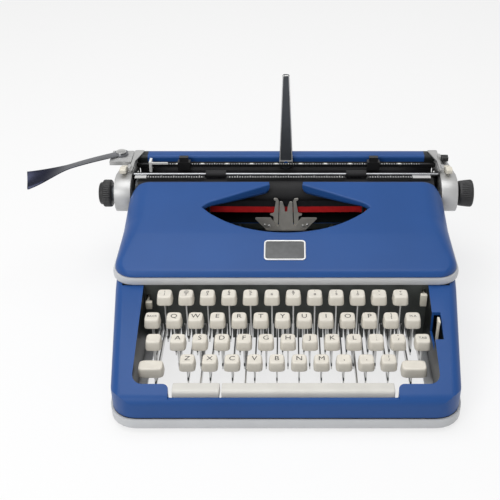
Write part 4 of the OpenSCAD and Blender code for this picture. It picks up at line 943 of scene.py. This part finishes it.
# %% [markdown]
# ## Paper bail and its scale
# A bright rod across the platen carries the two rubber rollers. A black strip bent round the platen
# hangs under it, printed with white marks at ten to the inch. Every fifth mark is longer. A picture
# could print them, but it would need a map of the strip, so each mark is a thin strip of its own,
# bent by the same formula. Pale end pieces close the scale, and two flat black arms carry the rod
# from the housings.

# %% Bail
BAIL_AXIS, BAIL_HALF, BAIL_ROLLER_X, ROLLER_GAP = (95.816, 109.633), 152.7, 69.97, 11.0
BAIL_PIVOT, ROD_R, LINK_WIDE, PIVOT_R, TIP_R = (118.0, 100.0), 1.15, 1.9, 3.0, 2.3


def drawn_along(outline, xs):
    """Draws an outline of (y, z) points along X: one row of points for each x."""
    return np.stack([np.insert(outline, 0, x, axis=1) for x in xs])


def flat_link(x, a, b, steps=14):
    """A flat link in an upright plane: half circles round points a and b (y, z), joined, and given a
    width along X."""
    way = math.atan2(b[1] - a[1], b[0] - a[0])
    half_turn = np.linspace(0, np.pi, steps)
    ring = np.concatenate([a + PIVOT_R * circle(way + QUARTER + half_turn),
                           b + TIP_R * circle(way - QUARTER + half_turn)])
    return capped(drawn_along(ring, (x - LINK_WIDE / 2, x + LINK_WIDE / 2)))


rod = turned([(-BAIL_HALF, 0), (-BAIL_HALF, ROD_R), (BAIL_HALF, ROD_R), (BAIL_HALF, 0)], X, BAIL_AXIS, 24)
links = [flat_link(side * BAIL_HALF, BAIL_PIVOT, BAIL_AXIS) for side in (-1, 1)]
piece("bail_rod", [rod], lever_steel, "paper_bail", ["paper_bail"])
piece("bail_arms", links, black_enamel, "paper_bail")
print("bail rod", 2 * BAIL_HALF, "mm long")

# %% Bail scale
TICK_PITCH, TICK_HALF, TICK_MARGIN = 2.54, 0.28, 1.0
SCALE_LEFT, SCALE_RIGHT, SCALE_IN, SCALE_OUT = -139.0, 126.0, 18.2, 19.0
SCALE_ANGLES, END_OUT, TICK_IN, TICK_OUT = (80.5, 98), 19.1, 18.9, 19.06
LONG_TICK, SHORT_TICK = (85.5, 95.5), (89.5, 95.5)


def band(x0, x1, inner, outer, angles, steps=8):
    """A strip bent round the platen between two angles in degrees: a ring of inner and outer points,
    drawn from x0 to x1."""
    a = np.radians(np.linspace(*angles, steps))
    ring = np.concatenate([outer * circle(a), inner * circle(a[::-1])]) + PLATEN_AXIS
    return capped(drawn_along(ring, (x0, x1)))


spans = [(SCALE_LEFT, -BAIL_ROLLER_X - ROLLER_GAP),
         (ROLLER_GAP - BAIL_ROLLER_X, BAIL_ROLLER_X - ROLLER_GAP),
         (BAIL_ROLLER_X + ROLLER_GAP, SCALE_RIGHT)]
scale = [band(a, b, SCALE_IN, SCALE_OUT, SCALE_ANGLES) for a, b in spans]
scale_ends = [band(a, b, SCALE_IN, END_OUT, SCALE_ANGLES)
              for a, b in ((-150.4, SCALE_LEFT), (SCALE_RIGHT, 144.0))]
ticks = [band(x - TICK_HALF, x + TICK_HALF, TICK_IN, TICK_OUT, SHORT_TICK if k % 5 else LONG_TICK, 4)
         for k, x in enumerate(np.arange(-54, 51) * TICK_PITCH)
         if any(a + TICK_MARGIN < x < b - TICK_MARGIN for a, b in spans)]
piece("bail_scale", scale, black_enamel, "paper_bail")
piece("bail_scale_ends", scale_ends, bright_trim, "paper_bail")
piece("bail_scale_marks", ticks, ink_white, "paper_bail")
print("bail scale with", len(ticks), "marks")

# %% [markdown]
# ## Paper pan and margin scale
# Behind the platen a black sheet runs from the deflector back to the paper table, so paper slides
# round without a gap. A bent plane would do, but its bends would be sharp, so one rounded profile is
# drawn across the carriage. The margin rail over it has the same marks as the bail, on its upper
# face, and every tenth of them is broad.

# %% Pan and rail marks
PAN_HALF, PAN_SHEET, RAIL_TOP, RAIL_INK = 150.5, 0.6, 105.0, 0.06
MARK_FROM, SHORT_MARK, LONG_MARK, THIN_MARK, BROAD_MARK = 126.1, 127.6, 128.8, 0.8, 3.4
pan_path = rounded_path([(106.9, 101.3, 0), (111.5, 96.4, 3), (117.0, 95.2, 4), (130.0, 95.2, 3),
                         (134.5, 97.5, 2), (134.7, 103.6, 0)], 6)
pan = drawn_along(pan_path, np.linspace(-PAN_HALF, PAN_HALF, 9))
piece("paper_pan", [pan], pan_black, "carriage",
      sharp=50, loop=False, outward=False, wall=PAN_SHEET)
rail_marks = [strip((x, MARK_FROM, RAIL_TOP), (x, SHORT_MARK if k % 5 else LONG_MARK, RAIL_TOP),
                    THIN_MARK if k % 10 else BROAD_MARK, RAIL_INK)
              for k, x in enumerate(np.arange(-54, 55) * TICK_PITCH)]
piece("margin_scale_marks", rail_marks, ink_white, "carriage")
print("pan and", len(rail_marks), "rail marks")

# %% [markdown]
# ## Return lever
# The lever is one strip of polished steel. From its eye on the bracket it runs out as a narrow band
# that climbs a little. Over the last third its front edge swings forward and its rear edge turns up,
# so the blade is a hollow that faces the typist. The end is cut straight towards the front. A plane
# bent by a modifier cannot widen and lift one edge at a time, so each section of the strip is worked
# out from its own front edge, rear edge and lift.

# %% Blade and eye
LEVER_PIN, LEVER_WAY = np.array([-170.0, 134.0]), math.radians(216.0)
LEVER_LOW, LEVER_THICK, LEVER_LEN, STRIP_CLIMB = 112.4, 2.2, 99.0, 2.2
BLADE_FROM, BLADE_SLANT, BLADE_RISE, BLADE_FRONT, BLADE_REAR = 56.0, 9.0, 7.4, 12.6, 1.0
STRIP_HALF, STRIP_TAPER, TAPER_RUN, PIN_HOLE, PIN_EYE = 4.5, 1.0, 50.0, 3.1, 7.0
SECTION = np.array([0.0, 0.04, 0.2, 0.4, 0.6, 0.75, 0.88, 0.97, 1.0])
SOFT_EDGE = np.array([0.5, 0.1, 0, 0, 0, 0, 0, 0.1, 0.5])
EDGE_DROP, EDGE_LIFT = 1.6, 3.0
TIP_ROWS, TIP_SCALE = [LEVER_LEN - 0.2, LEVER_LEN], [0.985, 0.94]


def lever_blade(s, front, rear, lift):
    """Blade points: at each way s along the lever the section runs from the front edge to the rear
    edge. Towards the end the front edge runs ahead, and the rear edge lifts with the square of its
    share. The underside is one thickness lower."""
    along = np.array([math.cos(LEVER_WAY), math.sin(LEVER_WAY)])
    forward = np.array([-along[1], along[0]])
    across = front[:, None] * (1 - SECTION) - rear[:, None] * SECTION
    way = s[:, None] + BLADE_SLANT * lift[:, None] * (1 - SECTION)
    plan = LEVER_PIN + way[..., None] * along + across[..., None] * forward
    climb = STRIP_CLIMB * np.sin(np.pi * np.clip(s / LEVER_LEN, 0, 1))
    hollow = BLADE_RISE * lift[:, None] * SECTION ** 2
    top = LEVER_LOW + LEVER_THICK + climb[:, None] + hollow - SOFT_EDGE * EDGE_DROP
    upper = np.concatenate([plan, top[..., None]], -1)
    lower = np.concatenate([plan, (top - LEVER_THICK + SOFT_EDGE * EDGE_LIFT)[..., None]], -1)
    return capped(np.concatenate([upper, lower[:, ::-1]], 1))


s_run = np.concatenate([np.linspace(0, BLADE_FROM, 16),
                        np.linspace(BLADE_FROM + 2, LEVER_LEN - 0.7, 24), TIP_ROWS])
blade_share = np.clip((s_run - BLADE_FROM) / (LEVER_LEN - BLADE_FROM), 0, 1)
eased = blade_share ** 2 * (3 - 2 * blade_share)
round_tip = np.concatenate([np.ones(len(s_run) - len(TIP_ROWS)), TIP_SCALE])
strip_half = STRIP_HALF - STRIP_TAPER * np.clip(s_run / TAPER_RUN, 0, 1)
blade = lever_blade(s_run, (strip_half + BLADE_FRONT * eased) * round_tip,
                    (strip_half + BLADE_REAR * blade_share) * round_tip, blade_share ** 1.5)
lever_eye = turned(ring_profile(LEVER_LOW, LEVER_LOW + LEVER_THICK, PIN_HOLE, PIN_EYE), Z, LEVER_PIN, 40)
# The blade's finish carries a painted reflection: dark navy towards its end.
piece("lever_blade", [blade], blade_steel_painted_reflection, "return_lever", ["return_lever"])
piece("lever_eye", [lever_eye], blade_steel_painted_reflection, "return_lever")
print("lever blade:", len(s_run), "sections")

# %% Pivot screw
screw_profile = [(114.9, 0), (114.9, 5.2), (115.6, 5.2), (116.3, 4.6), (116.7, 3.0), (116.8, 0)]
screw = turned(screw_profile, Z, LEVER_PIN, 40)
piece("lever_screw", [screw], polished_steel, "carriage", sharp=35)
print("pivot screw set")

# %% [markdown]
# ## Paper support and housing caps
# The support is a dark strip that narrows upwards. A bright rim runs up one side, across the top and
# down the other: a round section carried along a path, where a bevelled curve would do the same but
# leave the corners to chance. A flat cap closes the top of each housing towards the paper table. Its
# inner edge slants, so it is an outline at two heights and not a box.

# %% Support rim
SUPPORT_FACE, RIM_R = 131.6, 0.55
BAND_HALF, BAND_Y, BAND_Z, BAND_THICK, BAND_HIGH = 6.6, SUPPORT_FACE - 0.2, 106.0, 0.8, 1.3
rim_plan = rounded_path([(-6.4, 104.5, 0), (-3.0, 199.1, 1.4), (3.0, 199.1, 1.4), (6.4, 104.5, 0)], 6)
rim_path = np.insert(rim_plan, 1, SUPPORT_FACE, axis=1)
rim_section = RIM_R * circle(np.linspace(0, FULL, 12, endpoint=False))
rim = capped(sweep(rim_path, rim_section, (0, 1, 0)))
foot_band = strip((-BAND_HALF, BAND_Y, BAND_Z), (BAND_HALF, BAND_Y, BAND_Z), BAND_THICK, BAND_HIGH)
piece("support_rim", [rim], bright_trim, "paper_support", sharp=60)
piece("support_band", [foot_band], bright_trim, "paper_support")
print("support rim:", len(rim_path), "points")

# %% Housing caps
CAP_FLOOR, CAP_TOP = 110.1, 111.3
cap_plan = rounded_path([(157.6, 101.0, 1.0), (154.3, 101.0, 0.5), (154.3, 121.5, 2.0),
                         (147.2, 146.0, 1.5), (157.6, 146.0, 1.5)], 4, True)


def flat_plate(plan, low, high):
    """A level plate: the outline of (x, y) points at two heights, closed above and below by fans to
    its middle."""
    return capped(np.stack([np.insert(plan, 2, z, axis=1) for z in (low, high)]))


caps = [flat_plate(cap_plan * [side, 1], CAP_FLOOR, CAP_TOP) for side in (-1, 1)]
piece("housing_caps", caps, cast_metal, "carriage")
print("housing caps:", len(cap_plan), "points each")

# %% [markdown]
# ## Ribbon, type guide and vibrator
# The ribbon stands on edge: black above, red below. Its middle rides on the vibrator. Its sides rise
# to two posts and turn down to the spools, so each side bends between post and vibrator at a strike.
# A cloth simulation could hang it, but a tight ribbon hardly sags, so it is a strip along a path. The
# type guide is one plate with a notch for the type and two slanted wings. Hooked prongs beside it
# hold the ribbon. Both are stamped from sheet, so they are outlines with a depth.

# %% Ribbon
RIBBON_Y, RIBBON_LOW, RIBBON_WIDE, RIBBON_T = 72.75, 79.0, 13.0, 0.16
PRONG_X, POST_TURN, SPOOL_END, POST_SOFT = 13.0, (76.0, 59.99, 87.0), (87.0, 39.1, 60.9), 1.2


def ribbon_strip(path, low_share, high_share):
    """A standing strip along a path of its lower edge: between two shares of the ribbon's width, a
    loop of four corners."""
    low, high = (path + share * np.array([0, 0, RIBBON_WIDE]) for share in (low_share, high_share))
    out = level_normal(path, 1) * RIBBON_T / 2
    return capped(np.stack([low - out, low + out, high + out, high - out], 1))


def bent_path(a, b, c, soft, count):
    """Straight from a to b to c, with the corner at b eased by a quadratic curve that starts and
    ends soft away from b."""
    a, b, c = (np.array(p, float) for p in (a, b, c))
    into, away = b + unit(a - b) * soft, b + unit(c - b) * soft
    t = np.linspace(0, 1, count)[:, None]
    bend = (1 - t) ** 2 * into + 2 * t * (1 - t) * b + t ** 2 * away
    return np.concatenate([a + (into - a) * t, bend[1:-1], away + (c - away) * t])


side_path = bent_path((PRONG_X, RIBBON_Y, RIBBON_LOW), POST_TURN, SPOOL_END, POST_SOFT, 18)
middle_path = np.linspace((-PRONG_X, RIBBON_Y, RIBBON_LOW), (PRONG_X, RIBBON_Y, RIBBON_LOW), 9)
for tone, cloth, stands_for, *shares in (("red", red_cloth, ["ribbon"], 0.0, 0.5),
                                         ("black", black_cloth, [], 0.5, 1.0)):
    piece(f"ribbon_middle_{tone}", [ribbon_strip(middle_path, *shares)], cloth, "ribbon_vibrator",
          stands_for, sharp=60)
    for side, sign in (("left", -1), ("right", 1)):
        half = ribbon_strip(side_path * [sign, 1, 1], *shares)
        strip_obj = piece(f"ribbon_{side}_{tone}", [half], cloth, None, sharp=60)
        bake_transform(strip_obj)
print("ribbon in red and black,", len(side_path), "points to a side")

# %% Stamped sheets
def sheet(outline, first, last, axis=Y):
    """Points and faces of a sheet in an upright plane: an outline of points (level, z), filled, at
    two depths along the axis, and joined all round."""
    ring = np.asarray(outline, float)
    n = len(ring)
    points = np.concatenate([np.insert(ring, axis, depth, axis=1) for depth in (first, last)])
    k = np.arange(n)
    ahead = np.roll(k, -1)
    return points, [np.stack([k[::-1], k + n]), np.stack([k, ahead, ahead + n, k + n], -1)]


def sheet_piece(name, sheets, mat, body, stands_for=()):
    """Joins sheets into one piece."""
    return settle(name, joined(name, sheets), mat, body, stands_for, sharp=30)


def box(x0, x1, z0, z1):
    """Outline of an upright rectangle."""
    return np.array([(x0, z0), (x1, z0), (x1, z1), (x0, z1)])


def both_sides(outline, first, last):
    """Sheets of an outline and of its mirror image, whose points run the other way round."""
    return [sheet(outline, first, last), sheet((outline * TO_LEFT)[::-1], first, last)]


print("sheet helpers ready")

# %% Type guide
PLATE_DEPTH, STRIP_DEPTH, TAB_DEPTH = (68.8, 70.3), (69.0, 70.2), (56.04, 70.2)
half_guide = [(19.0, 60.0, 1), (31.5, 74.6, 0.8), (15.4, 74.6, 0.8), (7.3, 62.8, 1.2),
              (6.2, 93.0, 1.0), (3.6, 93.0, 0.6), (1.45, 86.5, 0.6), (1.4, 81.2, 0.3)]
other_half = [(-x, z, r) for x, z, r in half_guide[::-1]]
guide_outline = rounded_path(half_guide + other_half, 6, True)
wide_strips = both_sides(box(12.0, 64.0, 62.0, 67.8), *STRIP_DEPTH)
tabs = both_sides(box(57.0, 64.0, 68.0, 70.0), *TAB_DEPTH)
rivet_profile = [(68.2, 0), (68.25, 1.0), (68.6, 1.5), (68.9, 1.6), (68.9, 0)]
rivets = [turned(rivet_profile, Y, spot, 20)
          for spot in ((-16.8, 65.4), (16.8, 65.4), (-21.3, 66.4), (21.3, 66.4))]
sheet_piece("guide_plate", [sheet(guide_outline, *PLATE_DEPTH)], satin_steel, "machine",
            ["type_guide"])
sheet_piece("guide_strips", wide_strips + tabs, dark_frame, "machine")
piece("guide_rivets", rivets, drawn_steel, "machine")
print("guide outline", len(guide_outline), "points,", len(rivets), "rivets")

# %% Vibrator
PRONG_DEPTH, FINGER_DEPTH, FOOT_DEPTH = (70.65, 71.75), (73.25, 74.05), (71.7, 73.3)
half_prong = [(8.2, 62.2, 0), (12.4, 62.2, 0.8), (12.4, 75.4, 0.8), (15.9, 77.0, 0.6),
              (15.9, 78.4, 0.6), (12.0, 79.0, 0.8), (9.9, 93.0, 0.8), (12.2, 94.4, 0.8),
              (11.9, 96.0, 0.8), (8.4, 95.8, 1.2), (7.1, 92.6, 1.0), (7.6, 74.0, 0.8)]
prongs = both_sides(rounded_path(half_prong, 5, True), *PRONG_DEPTH)
bridge = sheet(box(-12.9, 12.9, 62.2, 65.4), *PRONG_DEPTH)
fingers = both_sides(box(9.6, 12.9, 77.3, 84.6), *FINGER_DEPTH)
feet = both_sides(box(9.6, 12.9, 77.3, 78.6), *FOOT_DEPTH)
sheet_piece("vibrator_prongs", prongs + [bridge] + fingers + feet, satin_steel, "ribbon_vibrator",
            ["ribbon_vibrator"])
print("vibrator prongs:", len(half_prong), "corners each")

# %% [markdown]
# ## Paper guide
# A thin upright plate straddles the margin rail, with a finger that points along the platen. The edge
# of the paper lies against it. Boxes could be joined into this shape, but an outline with a width
# has no faces hidden inside.

# %% Paper guide
saddle = [(120.8, 109.8), (120.8, 98.6), (125.5, 98.6), (125.5, 105.4),
          (129.5, 105.4), (129.5, 98.6), (130.7, 98.6), (130.7, 109.8)]
guide_sheets = [sheet(saddle, -140.4, -137.9, X), sheet(box(120.6, 121.8, 107.6, 109.6), -138.0, -121.0, X)]
sheet_piece("guide_arm", guide_sheets, white_plastic, "paper_guide", ["paper_guide"])
print("paper guide:", len(saddle), "corners")

# %% [markdown]
# ## Last update
# The finishes must not change the machine's size. The last line brings the view layer up to date.

# %% Update the view layer
bpy.context.view_layer.update()
